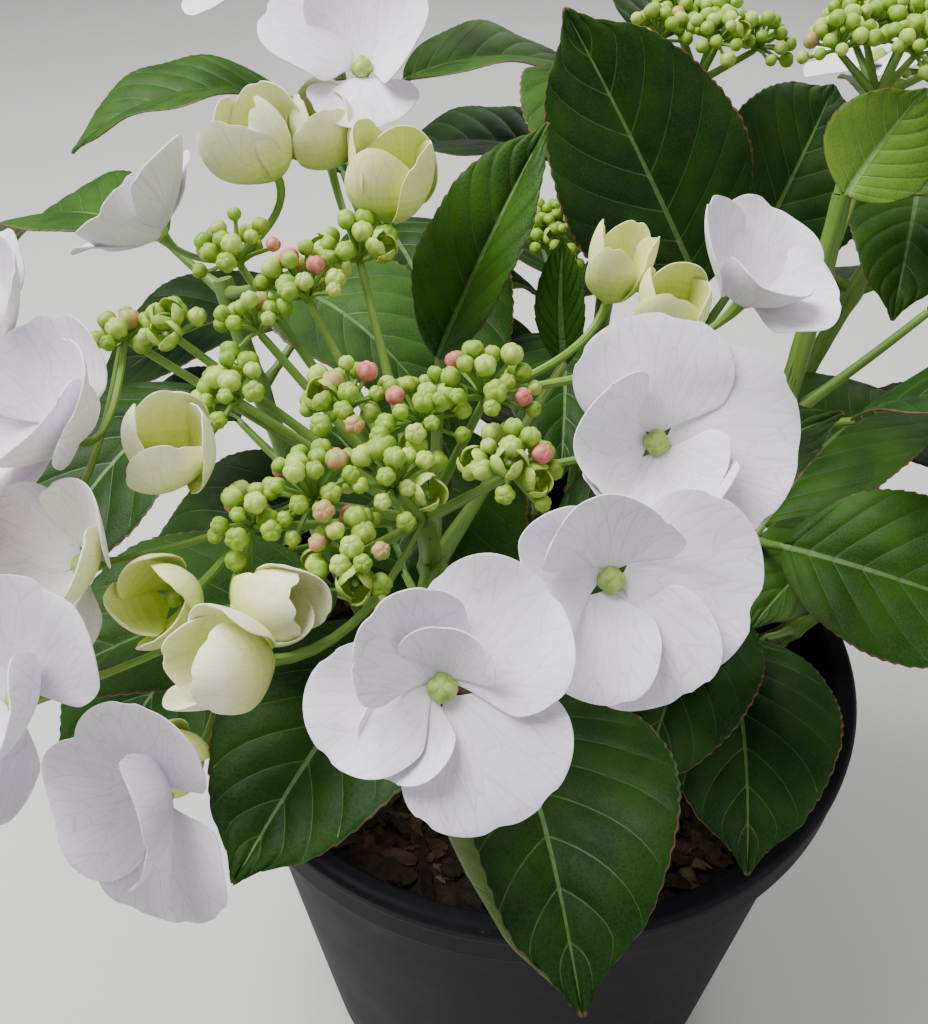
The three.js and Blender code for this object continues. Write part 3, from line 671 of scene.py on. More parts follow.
def tube(skin, path, radii, sides, colour, number=0.0, relief=1.0):
    """A closed limb along a path. relief scales the radius, ring by ring and side by side."""
    tangent = unit(np.gradient(path, axis=0))
    across = np.zeros_like(path)
    start = vec(0, 1, 0) if abs(tangent[0][1]) < 0.8 else vec(1, 0, 0)
    across[0] = unit(np.cross(start, tangent[0]))
    for i in range(1, len(path)):
        across[i] = unit(across[i - 1] - tangent[i] * (across[i - 1] @ tangent[i]))
    beside = np.cross(tangent, across)
    turn = around(sides)
    radius = np.asarray(radii, float)[:, None] * np.ones(sides) * relief
    out = across[:, None] * np.cos(turn)[:, None] + beside[:, None] * np.sin(turn)[:, None]
    rings = path[:, None] + out * radius[..., None]
    points, faces = ringed(rings, path[0], path[-1])
    length = np.concatenate(([0], np.cumsum(np.linalg.norm(np.diff(path, axis=0), axis=1))))
    girth = np.mean(radii) * 1.5
    grain = stacked(np.cos(turn) * girth, length[:, None], np.sin(turn) * girth + 40 * number)
    grain = grain.reshape(-1, 3)
    skin.add(points, faces, skin.index(colour), np.concatenate([grain, grain[:1], grain[-1:]]))


def even(radii, steps):
    return np.linspace(radii[0], radii[1], steps)


# Layout, as in the solids


def midrib(entry):
    start = vec(*entry.base)
    axis = vec(*entry.tip) - start
    along = unit(axis)
    up = vec(*entry.face)
    up = unit(up - along * (up @ along))
    side = np.cross(up, along)

    def at(t):
        t = np.asarray(t, float)[..., None]
        return start + axis * t + up * entry.arch * 4 * t * (1 - t)

    return at, up, side, np.linalg.norm(axis)


def shoot_curve(shoot):
    foot = vec(*shoot.tip)
    through = vec(*shoot.through)
    foot = foot + unit(through - foot) * CLEARANCE
    return bezier(foot, through, vec(*shoot.top))


def ruled_leaves(curve, pairs, random):
    """Opposite pairs, each turned a quarter from the pair below, shorter and steeper towards the top."""
    start, end, count, first_turn, full_length, first_pitch = pairs
    leaves = []
    for i in range(count):
        share = i / (count - 1)
        at = start + (end - start) * share
        for side in range(2):
            turn = math.radians(first_turn + 90 * i + 180 * side + 16 * (random() - 0.5))
            length = full_length * (1 - 0.24 * share) * (0.92 + 0.16 * random())
            pitch = math.radians(first_pitch + 14 * share + 14 * (random() - 0.5))
            base = curve(at) + turned(turn, PETIOLE_LENGTH, PETIOLE_LENGTH * 0.55)
            tip = base + turned(turn, length * math.cos(pitch), length * math.sin(pitch))
            leaves.append(Leaf(at, base, tip, length * LEAF_WIDTH_RATIO, length * 0.13))
    return leaves


def shortened(entry, share):
    """A leaf whose blade is cut down to a share of its size."""
    base = vec(*entry.base)
    tip = base + (vec(*entry.tip) - base) * share
    return entry._replace(tip=tip, width=entry.width * share, arch=entry.arch * share)


def grown(shoot, number):
    """A shoot's curve, and its leaves at the size that its solid has, without those that it lacks."""
    curve = shoot_curve(shoot)
    wanted = list(shoot.leaves)
    if shoot.pairs:
        wanted += ruled_leaves(curve, shoot.pairs, seeded(SHOOT_SEED + number))
    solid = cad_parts["leaves_" + shoot.name].data
    points = np.empty(len(solid.vertices) * 3)
    solid.vertices.foreach_get("co", points)
    points = points.reshape(-1, 3) / MM
    leaves = []
    for entry in wanted:
        trials = [shortened(entry, share) for share in LEAF_TRIALS]
        gaps = [np.linalg.norm(points - trial.tip, axis=1).min() for trial in trials]
        kept = [trial for trial, gap in zip(trials, gaps) if gap < LEAF_MATCH]
        leaves += kept[:1]
    return curve, leaves


def looking(looks):
    """The directions across a floret that looks along a given way: right, top and out."""
    out = unit(vec(*looks))
    right = np.cross(vec(0, 0, 1), out)
    right = unit(right) if np.linalg.norm(right) > 0.01 else vec(1, 0, 0)
    return np.array((right, np.cross(out, right), out))


def ruled_head(entry, random):
    name, shoot, top, reach, rise, clusters, florets = entry
    top = vec(*top)
    head = Head(name, shoot, top, [], [], [])
    for i in range(clusters):
        turn = math.radians(GOLDEN_TURN * i + 10 * random())
        out = reach * math.sqrt((i + 0.3) / clusters)
        middle = top + turned(turn, out, rise + 6 * (1 - (out / reach) ** 2))
        head.clusters.append((*middle, RULED_SPREAD))
    for i in range(florets):
        turn = math.radians(360 / florets * i + 20 * random())
        out = reach + RING_GAP + 4 * random()
        sepals = [
            (90 * side + 30 * random(), 25 + 4 * random(), 30, 14 + 12 * (side % 2))
            for side in range(4)
        ]
        eye = top + turned(turn, out, rise - 2 + 6 * random())
        head.open.append((eye, turned(turn, 0.5, 0.86), sepals))
    return head


# Leaves


def swept(row, reach):
    """How far along the leaf a row is at a reach from the midrib: the further out, the further along."""
    share = reach**1.1
    return 1 - (1 - row ** (1 - VEIN_SWEEP[0] * share)) ** (1 + VEIN_SWEEP[1] * share)


def leaf_rows():
    """Rows from base to tip, even along the margin, with a narrow pair of rows for each side vein."""
    margin = np.linspace(0.004, 0.996, LEAF_ROWS)
    rows = (1 - (1 - margin) ** (1 / (1 + VEIN_SWEEP[1]))) ** (1 / (1 - VEIN_SWEEP[0]))
    free = np.abs(rows[:, None] - SIDE_VEINS).min(axis=1) > 2.2 * VEIN_HALF
    return np.sort(np.concatenate([rows[free], SIDE_VEINS - VEIN_HALF, SIDE_VEINS + VEIN_HALF, TIP_ROWS]))


def leaf(skin, entry, tone, shape, number):
    """One leaf blade: swept veins, quilted tissue, a toothed margin, a folded midrib and a wavy edge."""
    rng = np.random.default_rng(number)
    at, up, side, length = midrib(entry)
    rows = leaf_rows()
    columns = np.concatenate([-LEAF_COLUMNS[::-1], LEAF_COLUMNS])
    r, u = np.meshgrid(rows, columns, indexing="ij")
    reach = np.abs(u)
    nearest = SIDE_VEINS[np.abs(r[..., None] - SIDE_VEINS).argmin(axis=-1)]
    on_row = np.abs(r - nearest) <= VEIN_HALF * 1.01
    trunk = np.where(on_row, nearest, r)
    t = swept(trunk, reach) + (r - trunk) * (1 - 0.82 * reach)
    half = entry.width / 2 * np.sin(math.pi * t**LEAF_PEAK) ** LEAF_ROUNDNESS
    half = half * (1 - 0.5 * smooth(0.84, 0.98, t))
    rib = 0.9 * (1 - t) + 0.18
    half = np.maximum(half, rib + 0.12)
    across = rib + (half - rib) * (reach - LEAF_COLUMNS[0]) / (1 - LEAF_COLUMNS[0])
    margin = swept(r, 1.0)
    bite = (margin * length / TOOTH_PITCH + rng.uniform()) % 1
    toothed = smooth(0.1, 0.22, margin) * (1 - smooth(0.96, 0.995, margin))
    size = TOOTH * (length / 100) * toothed
    across = across + size * (bite - 0.75) * smooth(0.8, 1, reach)
    x = np.sign(u) * across
    between = np.interp(r, np.concatenate(([0], SIDE_VEINS, [1])), np.arange(len(SIDE_VEINS) + 2))
    quilt = np.sin(math.pi * (between % 1)) ** 0.8 * smooth(0.03, 0.2, reach) * (1 - reach**5)
    wave_count = rng.uniform(1.6, 2.6)
    phase = np.where(u > 0, rng.uniform(0, ROUND), rng.uniform(0, ROUND))
    wave = np.sin(2 * math.pi * wave_count * t + phase) * reach**2 * np.sin(math.pi * t)
    angle = math.radians(shape.get("fold", LEAF_FOLD))
    fold = np.abs(x) * math.sin(angle) * (1.25 - 0.45 * reach)
    sickle = rng.uniform(-LEAF_SICKLE, LEAF_SICKLE) * length * np.sin(math.pi * t)
    height = fold + length * (LEAF_QUILT * quilt + LEAF_WAVE * wave)
    lie = x * math.cos(angle) + sickle
    if "roll" in shape:
        rolled = np.clip(-u - shape["roll"], 0, 1) * half * np.sin(math.pi * t) ** 0.6
        lie = lie + 1.5 * rolled
        height = height + 1.1 * rolled
    middle = at(t) + side * lie[..., None] + up * height[..., None]
    on_vein = on_row & (reach < 0.94)
    on_rib = reach <= LEAF_COLUMNS[0]
    skin_depth = LEAF_SKIN * (1 - 0.6 * (reach > 0.99))
    above = skin_depth - 0.18 * on_vein - 0.3 * on_rib
    below = skin_depth + 0.3 * on_vein * (1 - reach) + 0.9 * on_rib * (1 - 0.7 * t)
    vein_cell = on_vein[:-1, :-1] & on_vein[1:, :-1] & on_vein[:-1, 1:]
    narrow = np.diff(rows)[:, None] < VEIN_HALF * 2.02
    rib_cell = on_rib[:-1, :-1] & on_rib[:-1, 1:]
    vein_cell = (vein_cell & narrow) | rib_cell
    edge_cell = (np.minimum(reach[:-1, :-1], reach[:-1, 1:]) > 0.98) | (t[:-1, :-1] > 0.99)
    body = skin.index(tone)
    vein, rib = ("leaf_vein_pale",) * 2 if tone == "leaf_fresh" else ("leaf_vein", "leaf_rib")
    top_paint = np.where(edge_cell, skin.index("leaf_margin"), body)
    top_paint = np.where(rib_cell, skin.index(rib), np.where(vein_cell, skin.index(vein), top_paint))
    under_paint = np.where(vein_cell, skin.index("leaf_vein_pale"), skin.index("leaf_under"))
    grain = stacked(x, t * length, 50.0 * number)
    blade(skin, middle, above, below, top_paint, under_paint, skin.index("leaf_margin"), grain)


def petiole(skin, curve, entry, number):
    """A leaf stalk that swells where it meets the shoot, and runs a little way under the blade."""
    at, up, *_ = midrib(entry)
    root = curve(entry.at)
    base = at(0.0)
    into = at(0.03) - up * 0.9
    bow = bezier(root, (root + base) / 2 - vec(0, 0, 2), base - up * 0.7)
    steps, sides = PETIOLE_MESH
    path = np.concatenate([bow(np.linspace(0, 1, steps - 1)), into[None]])
    radii = even(PETIOLE_RADII, steps)
    radii[:6] += np.linspace(1.1, 0, 6)
    radii[-1] *= 0.5
    groove = 1 - 0.16 * hump(around(sides), math.pi / 2, 0.5)
    tube(skin, path, radii, sides, "stem_green", number, groove)


def leaf_tone(shoot, entry, number):
    """Young leaves near a shoot's top are fresh, old ones dark."""
    if entry.at > 0.85 and shoot == "right":
        return "leaf_fresh"
    return "leaf_mid" if number % 4 == 2 or entry.at > 0.8 else "leaf_dark"


def make_foliage(stems):
    for number, shoot in enumerate(SHOOTS):
        curve, leaves = grown(shoot, number)
        skin = Skin("foliage_" + shoot.name)
        for i, entry in enumerate(leaves):
            seed = LEAVES_EACH * number + i
            shape = LEAF_SHAPES.get(seed, {})
            tone = shape.get("tone", leaf_tone(shoot.name, entry, seed))
            leaf(skin, entry, tone, shape, seed)
            petiole(stems, curve, entry, seed)
        steps, sides = SHOOT_MESH
        along = np.linspace(0, 1, steps)
        radii = even(SHOOT_RADII, steps)
        for entry in leaves:
            radii += 0.35 * hump(along, entry.at, 0.035)
        path = curve(along)
        turn = around(sides)
        uneven = ripples(path[:, None] + turn[:, None], 12, number)
        ribs = 1 + 0.025 * np.cos(6 * turn)[None] + 0.02 * uneven
        tube(stems, path, radii, sides, "stem_green", number, ribs)
        skin.build(["leaves_" + shoot.name], crease=50)


# Flowers


def sepal(skin, eye, axes, heading, shape, form, paints, number, grid=SEPAL_GRID):
    """One sepal: a round blade on a narrow claw. form is its bend, cup across, twist and ruffle.

    paints is (end, paint) for each stretch from the claw to the tip.
    """
    length, width, rise = shape
    bend, cup, twist, ruffle = form
    rng = np.random.default_rng(number)
    right, top, out = axes
    line = np.linspace(-1, 1, grid)
    j, i = np.meshgrid(line, line, indexing="ij")
    x = i * np.sqrt(1 - j * j / 2)
    y = j * np.sqrt(1 - i * i / 2)
    rho = (y + 1) / 2
    spread = x * (0.18 + 0.82 * smooth(-0.02, 0.24, rho)) * (0.93 + 0.1 * rho)
    rim = x * x + y * y
    turn = np.arctan2(x, y)
    nicks = hump(np.sin(4 * turn + rng.uniform(0, ROUND)), -1, 0.1)
    ragged = 0.014 * np.sin(3 * turn + rng.uniform(0, ROUND)) - 0.02 * nicks
    ragged = ragged * rim**2 * smooth(0.3, 0.6, rho)
    notch = rng.uniform(-0.03, 0.06) * hump(x, rng.uniform(-0.3, 0.3), 0.12)
    spread = spread * (1 + ragged)
    rho = rho + ragged - np.maximum(notch, 0) * smooth(0.6, 1, rho)
    a = math.radians(rise)
    b = math.radians(bend) if abs(bend) > 1 else 0.02
    theta = a + b * (rho - 0.5)
    run = (np.sin(theta) - math.sin(a - b / 2)) / b
    climb = (math.cos(a - b / 2) - np.cos(theta)) / b
    angle = math.radians(heading)
    away = right * math.cos(angle) + top * math.sin(angle)
    half = width / 2
    lift = cup * half * spread**2 * (0.5 + 0.5 * rho)
    lift = lift + twist * half * spread * smooth(0, 0.4, rho)
    wave = np.sin(rng.integers(3, 6) * turn + rng.uniform(0, ROUND))
    lift = lift + ruffle * rim**2 * wave * smooth(0.25, 0.6, rho)
    lift = lift + 0.1 * np.cos(9 * spread) * smooth(0.1, 0.5, rho) * (1 - rim**2) * length / 28
    lift = lift - 0.7 * hump(spread, 0, 0.12) * rho * (1 - rho)
    sideways = spread * half * (1 - 0.12 * cup * spread**2)
    outwards = SEPAL_CLAW + run * (length - SEPAL_CLAW) - lift * np.sin(theta)
    upwards = climb * (length - SEPAL_CLAW) + lift * np.cos(theta)
    middle = eye + stacked(sideways, outwards, upwards) @ np.array((np.cross(out, away), away, out))
    depth = SEPAL_SKIN * (1 - 0.5 * (rim > 0.98))
    shades = np.zeros((grid - 1, grid - 1), int)
    share = (line[:-1] + 1) / 2
    for end, shade in reversed(paints):
        shades[share <= end] = skin.index(shade)
    fan = np.arctan2(spread * half, rho * length + 5) * 34
    grain = stacked(fan, rho * length, 31.0 * number)
    blade(skin, middle, depth, depth, shades, shades, shades[-1, -1], grain)


def ball(skin, centre, axes, radius, columns, rows, wobble, colour, number):
    """A closed lobed ball. wobble scales its radius by angle round and height from pole to pole."""
    p, q = np.meshgrid(np.linspace(0, math.pi, rows + 1)[-2:0:-1], around(columns), indexing="ij")
    r = radius * wobble(p, q)
    rings = centre + stacked(r * np.sin(p) * np.cos(q), r * np.sin(p) * np.sin(q), r * np.cos(p)) @ axes
    north = centre + axes[2] * radius * wobble(0.0, 0.0)
    south = centre - axes[2] * radius * wobble(math.pi, 0.0)
    points, faces = ringed(rings, south, north)
    skin.add(points, faces, skin.index(colour), points - centre + vec(0, 0, 17.0 * number))


def lobed(lobes, depth, dimple):
    """Radius of a bud: seams from pole to pole and a dimple on top."""

    def wobble(p, q):
        seam = depth * np.abs(np.cos(lobes * q / 2)) ** 0.5 * np.sin(np.minimum(p, 1.9)) ** 0.5
        return 1 - depth + seam - dimple * hump(p, 0, 0.45)

    return wobble


EYE_LOBES = lobed(4, 0.12, 0.1)

# Ranges of bend, cup, twist and ruffle of an open floret's sepals
FLAT_FORM = ((-36, -14), (0.12, 0.28), (-0.1, 0.2), (0.3, 0.9))
STEEP_FORM = ((18, 48), (0.45, 0.75), (-0.15, 0.25), (0.2, 0.6))


def pedicel(stems, root, eye, out, depth, radii, number):
    """A floret's stalk, which comes up under it and ends at a depth below its eye."""
    elbow = eye - out * np.linalg.norm(root - eye) * 0.4
    path = bezier(root, elbow, eye - out * depth)(np.linspace(0, 1, len(radii)))
    tube(stems, path, radii, 8, "stem_pale", number)


def floret(skin, stems, root, eye, axes, sepals, number):
    """An open floret: overlapping sepals round a lobed eye. A steep sepal curls in, a flat one out."""
    out = axes[2]
    for i, (heading, length, width, rise) in enumerate(sepals):
        seed = 100 * number + i
        rng = np.random.default_rng(seed)
        form = [rng.uniform(*ends) for ends in (FLAT_FORM if rise < 30 else STEEP_FORM)]
        base = eye + out * (0.35 * (len(sepals) - i) - 1.2)
        paints = IVORY_PAINTS if (number, i) in YOUNG_SEPALS else OPEN_PAINTS
        sepal(skin, base, axes, heading, (length, width, rise), form, paints, seed)
    for heading, *shape in INNER_LOBES.get(number, ()):
        sepal(skin, eye, axes, heading, shape, (20, 0.5, 0, 0.3), OPEN_PAINTS, 7 + number)
    ball(skin, eye + out * 0.9, axes, EYE_RADIUS, 24, 10, EYE_LOBES, "eye_green", number)
    pedicel(stems, root, eye, out, 1.2, [PEDICEL_RADIUS] * 9 + [1.1, 1.5, 1.9], number)


def half_open(skin, stems, root, eye, axes, length, number, grid=CUP_GRID):
    """A half-open floret: four sepals that cup upwards and lap over each other."""
    out = axes[2]
    rng = np.random.default_rng(number)
    start = rng.uniform(0, 90)
    scale, breadth, bend, stand = CUP_SHAPES.get(number, (1.0, 1.0, rng.uniform(124, 144), 20))
    paints = GREEN_PAINTS if length < SMALL_CUP else LIME_PAINTS if number in LIME_CUPS else IVORY_PAINTS
    for i in range(CUP_SEPALS):
        closing = bend + rng.uniform(-8, 8) - 10 * (i % 2)
        form = (closing, rng.uniform(0.55, 0.75), 0.25, rng.uniform(0.1, 0.4) * length / 20)
        rise = closing / 2 + stand + rng.uniform(-6, 6)
        long = scale * length * rng.uniform(1.15, 1.35)
        size = (long, scale * breadth * length * rng.uniform(0.95, 1.1), rise)
        heading = start + 90 * i + rng.uniform(-8, 8)
        sepal(skin, eye - out * 1.5, axes, heading, size, form, paints, 100 * number + i, grid)
    radius = EYE_RADIUS * 0.7 * min(1, length / 16)
    ball(skin, eye + out * 0.4, axes, radius, 12, 6, EYE_LOBES, "eye_green", number)
    thick = PEDICEL_RADIUS if length > SMALL_CUP else BUD_PEDICEL_RADIUS
    pedicel(stems, root, eye, out, 1.5, even((thick, thick * 1.5), 10), number)


# Columns, rows and lobes of the buds: finer on the head that is nearest
FRONT_BUD = (BUD_RIBS * 4, 8, lobed(BUD_RIBS, 0.13, 0.14))
OTHER_BUD = (BUD_RIBS * 3, 6, lobed(BUD_RIBS, 0.11, 0.06))


def bud_cluster(skin, stems, stalk_top, middle, axes, spread, number):
    """Buds on a low dome, each on its own fine stalk from the end of the cluster's ray."""
    right, top, out = axes
    rng = np.random.default_rng(number)
    hub = middle - out * spread * 0.75
    count = int(round((spread / BUD_SPACING) ** 2))
    columns, rows, lobes = FRONT_BUD if number < FRONT_BUDS_END else OTHER_BUD
    steps, sides = RAY_MESH
    tube(stems, np.linspace(stalk_top, hub, steps), even(RAY_RADII, steps), sides, "stem_pale", number)
    for i in range(count):
        radius = BUD_RADIUS * rng.uniform(0.72, 1.12)
        share = math.sqrt((i + 0.5) / count)
        turn = math.radians(GOLDEN_TURN * i) + rng.uniform(-0.25, 0.25)
        over = spread * 1.12 * share
        height = spread * (0.5 - 0.9 * share**2) - 0.4 * radius + rng.uniform(-2.2, 1.6)
        place = middle + (right * math.cos(turn) + top * math.sin(turn)) * over + out * height
        lean = unit(place - hub)
        bud_axes = looking(lean + out * 0.3)
        seed = 1000 * number + i
        if rng.uniform() < OPENING_CHANCE and share > 0.5:
            eye = place - lean * 2
            half_open(skin, stems, hub, eye, bud_axes, OPENING_LENGTH, seed, BUD_CUP_GRID)
            continue
        chance = rng.uniform() * (1 if number < FRONT_BUDS_END else PINK_START)
        colour = next(colour for end, colour in BUD_CHANCES if chance < end)
        ball(skin, place, bud_axes, radius, columns, rows, lobes, colour, seed)
        bow = bezier(hub, hub + out * spread * 0.25, place - bud_axes[2] * radius * 0.8)
        radii = even((0.7, BUD_PEDICEL_RADIUS), 4)
        tube(stems, bow(np.linspace(0, 1, 4)), radii, 5, "stem_pale", seed)


def make_head(stems, head, shoot, order):
    foot = vec(*shoot.top)
    way = unit(foot - vec(*shoot.through))
    foot = foot + way * CLEARANCE
    top = vec(*head.top)
    elbow = foot + way * np.linalg.norm(top - foot) * 0.5
    stem = bezier(foot, elbow, top)
    stalk_top = stem(0.9)
    steps, sides = STALK_MESH
    ribs = 1 + 0.03 * np.cos(6 * around(sides))
    path = stem(np.linspace(0, 1, steps))
    tube(stems, path, even(STALK_RADII, steps), sides, "stem_green", order, ribs)
    place = head.name.split("_head_")[1]
    buds = Skin("buds_" + place)
    blossom = Skin("blossom_" + place)
    sockets = []
    for i, (x, y, z, spread) in enumerate(head.clusters):
        middle = vec(x, y, z)
        axis = unit(unit(middle - top) + vec(0, 0, 1))
        sockets.append(middle - axis * spread * 0.6)
        number = CLUSTERS_EACH * order + i
        bud_cluster(buds, stems, stalk_top, middle, looking(axis), spread, number)

    def root_of(eye, number):
        if number in LOW_STALKS:
            return top
        near = min([top] + sockets, key=lambda socket: np.linalg.norm(socket - eye))
        return near + (eye - near) * SOCKET_STEP

    for i, (eye, looks, sepals) in enumerate(head.open):
        eye = vec(*eye)
        number = FLORETS_EACH * order + i
        floret(blossom, stems, root_of(eye, number), eye, looking(looks), sepals, number)
    for i, (eye, looks, length) in enumerate(head.cups):
        eye = vec(*eye)
        number = FLORETS_EACH * order + CUPS_FROM + i
        half_open(blossom, stems, root_of(eye, number), eye, looking(looks), length, number)
    buds.build([head.name])
    if blossom.count:
        blossom.build()


# Canes, pot and mix


# Where along a cane its old leaves have left a swelling with two scars
CANE_NODES = (0.3, 0.62, 0.94)
SCAR_RADIUS = 2.1


def make_canes():
    skin = Skin("canes")
    for number, shoot in enumerate(SHOOTS):
        foot = vec(*shoot.foot, MIX_LEVEL + CLEARANCE)
        tip = vec(*shoot.tip)
        way = unit(vec(*shoot.through) - tip)
        length = np.linalg.norm(tip - foot)
        curve = bezier(foot, foot + vec(0, 0, length * 0.35), tip - way * length * 0.35, tip)
        steps, sides = CANE_MESH
        along = np.linspace(0, 1, steps)
        path = curve(along)
        turn = around(sides)
        spots = stacked(9 * np.cos(turn), 9 * np.sin(turn), along[:, None] * length * 0.22)
        relief = 1 + 0.07 * ripples(spots, 5, number) + 0.045 * ripples(spots, 2.2, number + 50)
        radii = even(CANE_RADII, steps)
        for place in CANE_NODES:
            radii += 0.8 * hump(along, place, 0.025)
        tube(skin, path, radii, sides, "bark", number, relief)
        for place in CANE_NODES:
            for side in (0, math.pi):
                out = turned(side + number + 1.6 * place, 1, 0.2)
                centre = curve(place) + out * np.interp(place, (0, 1), CANE_RADII)
                lobes = lobed(2, 0.1, 0.3)
                ball(skin, centre, looking(out), SCAR_RADIUS, 10, 6, lobes, "bark_scar", number)
    skin.build(["cane_" + shoot.name for shoot in SHOOTS])


def lathe(skin, profile, sides, colour):
    """A closed ring of a profile of radius and height turned about Z, with its two ends on the axis."""
    radius, height = np.array(profile[1:-1], float).T[..., None]
    turn = around(sides)
    rings = stacked(radius * np.cos(turn), radius * np.sin(turn), height)
    points, faces = ringed(rings, vec(0, 0, profile[0][1]), vec(0, 0, profile[-1][1]))
    skin.add(points, faces, skin.index(colour), points)


def rounded(corners, radius=0.8, steps=4):
    """A profile with its corners rounded off."""
    path = [corners[0]]
    for before, corner, after in zip(corners, corners[1:], corners[2:]):
        corner = np.array(corner, float)
        to_before = np.array(before) - corner
        to_after = np.array(after) - corner
        room = min(radius, 0.4 * np.linalg.norm(to_before), 0.4 * np.linalg.norm(to_after))
        start = corner + unit(to_before) * room
        end = corner + unit(to_after) * room
        path.extend(bezier(start, corner, end)(np.linspace(0, 1, steps)))
    path.append(corners[-1])
    return path


POT_NECK = POT_HEIGHT - RIM_SKIRT


def wall(height):
    """Outer radius of the pot below its rim."""
    return POT_FOOT_RADIUS + (POT_NECK_RADIUS - POT_FOOT_RADIUS) / POT_NECK * height


def make_pot():
    """The pot's wall, foot step, rim skirt and rolled lip, with drain holes cut through its floor."""
    foot, neck, rim = POT_FOOT_RADIUS, POT_NECK_RADIUS, POT_RIM_RADIUS
    high = POT_HEIGHT
    corners = [
        (0, 1.2), (foot - 12, 1.2), (foot - 9, 0), (foot - 1, 0), (foot, 1.5),
        (wall(40), 40), (wall(120) + 0.1, 120), (wall(180), 180),
        (neck - 0.4, POT_NECK), (rim - 2.4, POT_NECK), (rim - 1.2, POT_NECK + 2),
        (rim - 0.9, high - 8), (rim, high - 6.5), (rim, high - 2.4), (rim - 1.6, high - 0.4),
        (rim - 3.4, high), (rim - RIM_LIP + 1, high - 0.6), (rim - RIM_LIP - 0.6, high - 3),
        (neck - POT_WALL, POT_NECK), (foot - POT_WALL, POT_FLOOR), (0, POT_FLOOR),
    ]
    skin = Skin("nursery_pot")
    lathe(skin, rounded(corners), POT_SIDES, "pot_plastic")
    pot = skin.build(["pot"], crease=35)
    cutter_skin = Skin("drain_cutter")
    for turn in around(DRAIN_HOLES):
        path = np.array([turned(turn, DRAIN_RING_RADIUS, z) for z in (-POT_FLOOR, 2 * POT_FLOOR)])
        tube(cutter_skin, path, [DRAIN_RADIUS] * 2, 32, "pot_plastic")
    cutter = cutter_skin.build()
    cut = pot.modifiers.new("drain holes", "BOOLEAN")
    cut.object = cutter
    cut.solver = "EXACT"
    graph = bpy.context.evaluated_depsgraph_get()
    drained = bpy.data.meshes.new_from_object(pot.evaluated_get(graph))
    pot.modifiers.clear()
    pot.data = drained
    bpy.data.objects.remove(cutter)


def make_mix():
    """Potting mix: a lumpy top on a plain body, with bark chips half sunk into it."""
    skin = Skin("potting_mix_top")
    inset = POT_WALL + 2 * CLEARANCE + 0.6
    edge = wall(MIX_LEVEL) - inset
    profile = [(0, POT_FLOOR + CLEARANCE), (POT_FOOT_RADIUS - inset, POT_FLOOR + CLEARANCE)]
    profile += [(radius, MIX_LEVEL) for radius in np.linspace(edge, 0.5, MIX_RINGS)] + [(0, MIX_LEVEL)]
    lathe(skin, profile, MIX_SIDES, "mix_dark")
    points = skin.points[0]
    top = points[:, 2] > MIX_LEVEL - 1
    flat = points * (1, 1, 0)
    lumps = 1.7 * ripples(flat, 26, 1) + 1.3 * ripples(flat, 9, 2) + 0.8 * ripples(flat, 4, 3)
    points[:, 2] += top * (lumps * 0.75 - 1.8)
    rng = np.random.default_rng(5)
    colours = ("chip_dark", "chip_brown", "chip_tan")
    for number in range(CHIPS):
        out = (edge - 9) * math.sqrt(rng.uniform())
        turn = rng.uniform(0, 2 * math.pi)
        centre = turned(turn, out, MIX_LEVEL - 0.6 + rng.uniform(-0.8, 0.8))
        chip(skin, centre, rng, colours[rng.choice(3, p=(0.45, 0.4, 0.15))], number)
    skin.build(["potting_mix"], crease=30)


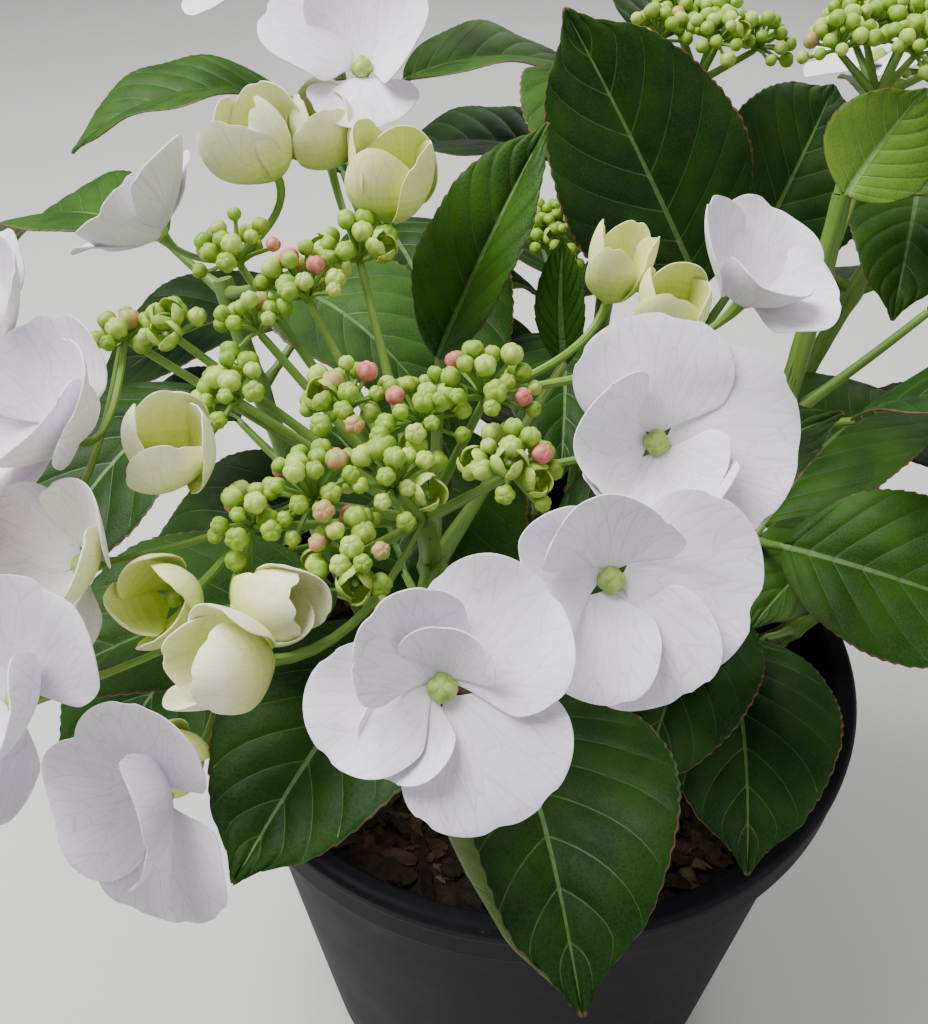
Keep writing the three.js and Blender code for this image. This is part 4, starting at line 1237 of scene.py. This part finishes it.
def chip(skin, centre, rng, colour, number):
    """A flake of bark: a thin grid bent and torn at random."""
    length = rng.uniform(5, 15)
    width = length * rng.uniform(0.25, 0.6)
    turn = rng.uniform(0, 2 * math.pi)
    along = unit(turned(turn, 1, rng.uniform(-0.35, 0.35)))
    up = unit(vec(rng.normal() * 0.3, rng.normal() * 0.3, 1) - along * 0.1)
    across = unit(np.cross(up, along))
    v, u = np.meshgrid(np.linspace(-1, 1, 6), np.linspace(-1, 1, 4), indexing="ij")
    taper = 1 - 0.5 * np.abs(v) ** 3
    ragged = 1 + 0.16 * rng.normal(size=u.shape)
    rough = 0.3 * rng.normal(size=u.shape)
    flake = stacked(v * length / 2 * ragged, u * width / 2 * taper * ragged, rough)
    middle = centre + flake @ np.array((along, across, np.cross(along, across)))
    depth = np.full(u.shape, rng.uniform(0.4, 1.3))
    tone = skin.index(colour)
    blade(skin, middle, depth, depth, tone, tone, tone, middle + 13.0 * number)


# Floor, light and camera


def make_stage():
    mesh = bpy.data.meshes.new("floor")
    mesh.from_pydata([(-6, -6, 0), (6, -6, 0), (6, 6, 0), (-6, 6, 0)], [], [(0, 1, 2, 3)])
    mesh.materials.append(paint("floor_pale", (0.62, 0.61, 0.59), 0.8))
    floor = placed("floor", mesh)
    world = bpy.data.worlds.new("studio")
    world.use_nodes = True
    sky = world.node_tree.nodes["Background"].inputs
    sky["Color"].default_value = (0.97, 0.97, 1.0, 1)
    sky["Strength"].default_value = 0.4
    bpy.context.scene.world = world
    for name, place, size, power in (
        ("key", (-0.75, 0.1, 1.7), 1.0, 54),
        ("fill", (1.3, -1.2, 1.1), 1.4, 9),
        ("back", (0.5, 1.4, 1.4), 1.3, 15),
    ):
        light = bpy.data.lights.new(name, "AREA")
        light.size = size
        light.energy = power
        lamp = placed(name, light)
        lamp.location = place
        aim = vec(0, 0, 0.33) - vec(*place)
        lamp.rotation_euler = (
            math.atan2(math.hypot(aim[0], aim[1]), -aim[2]),
            0,
            math.atan2(aim[0], -aim[1]) + math.pi,
        )
    camera = bpy.data.cameras.new("photo view")
    camera.lens = CAMERA_LENS
    camera.clip_start = 0.01
    viewer = placed("photo view", camera)
    viewer.location = [value * MM for value in CAMERA_PLACE]
    viewer.rotation_euler = (math.radians(90 - CAMERA_PITCH), 0, 0)
    bpy.context.scene.camera = viewer


make_paints()
green_stems = Skin("green_stems")
make_foliage(green_stems)
shoots_by_name = {shoot.name: shoot for shoot in SHOOTS}
make_head(green_stems, FRONT_HEAD, shoots_by_name["front"], 1)
for order, entry in enumerate(RULED_HEADS):
    head = ruled_head(entry, seeded(HEAD_SEED + order))
    make_head(green_stems, head, shoots_by_name[head.shoot], order + 2)
green_stems.build()
make_canes()
make_pot()
make_mix()
make_stage()
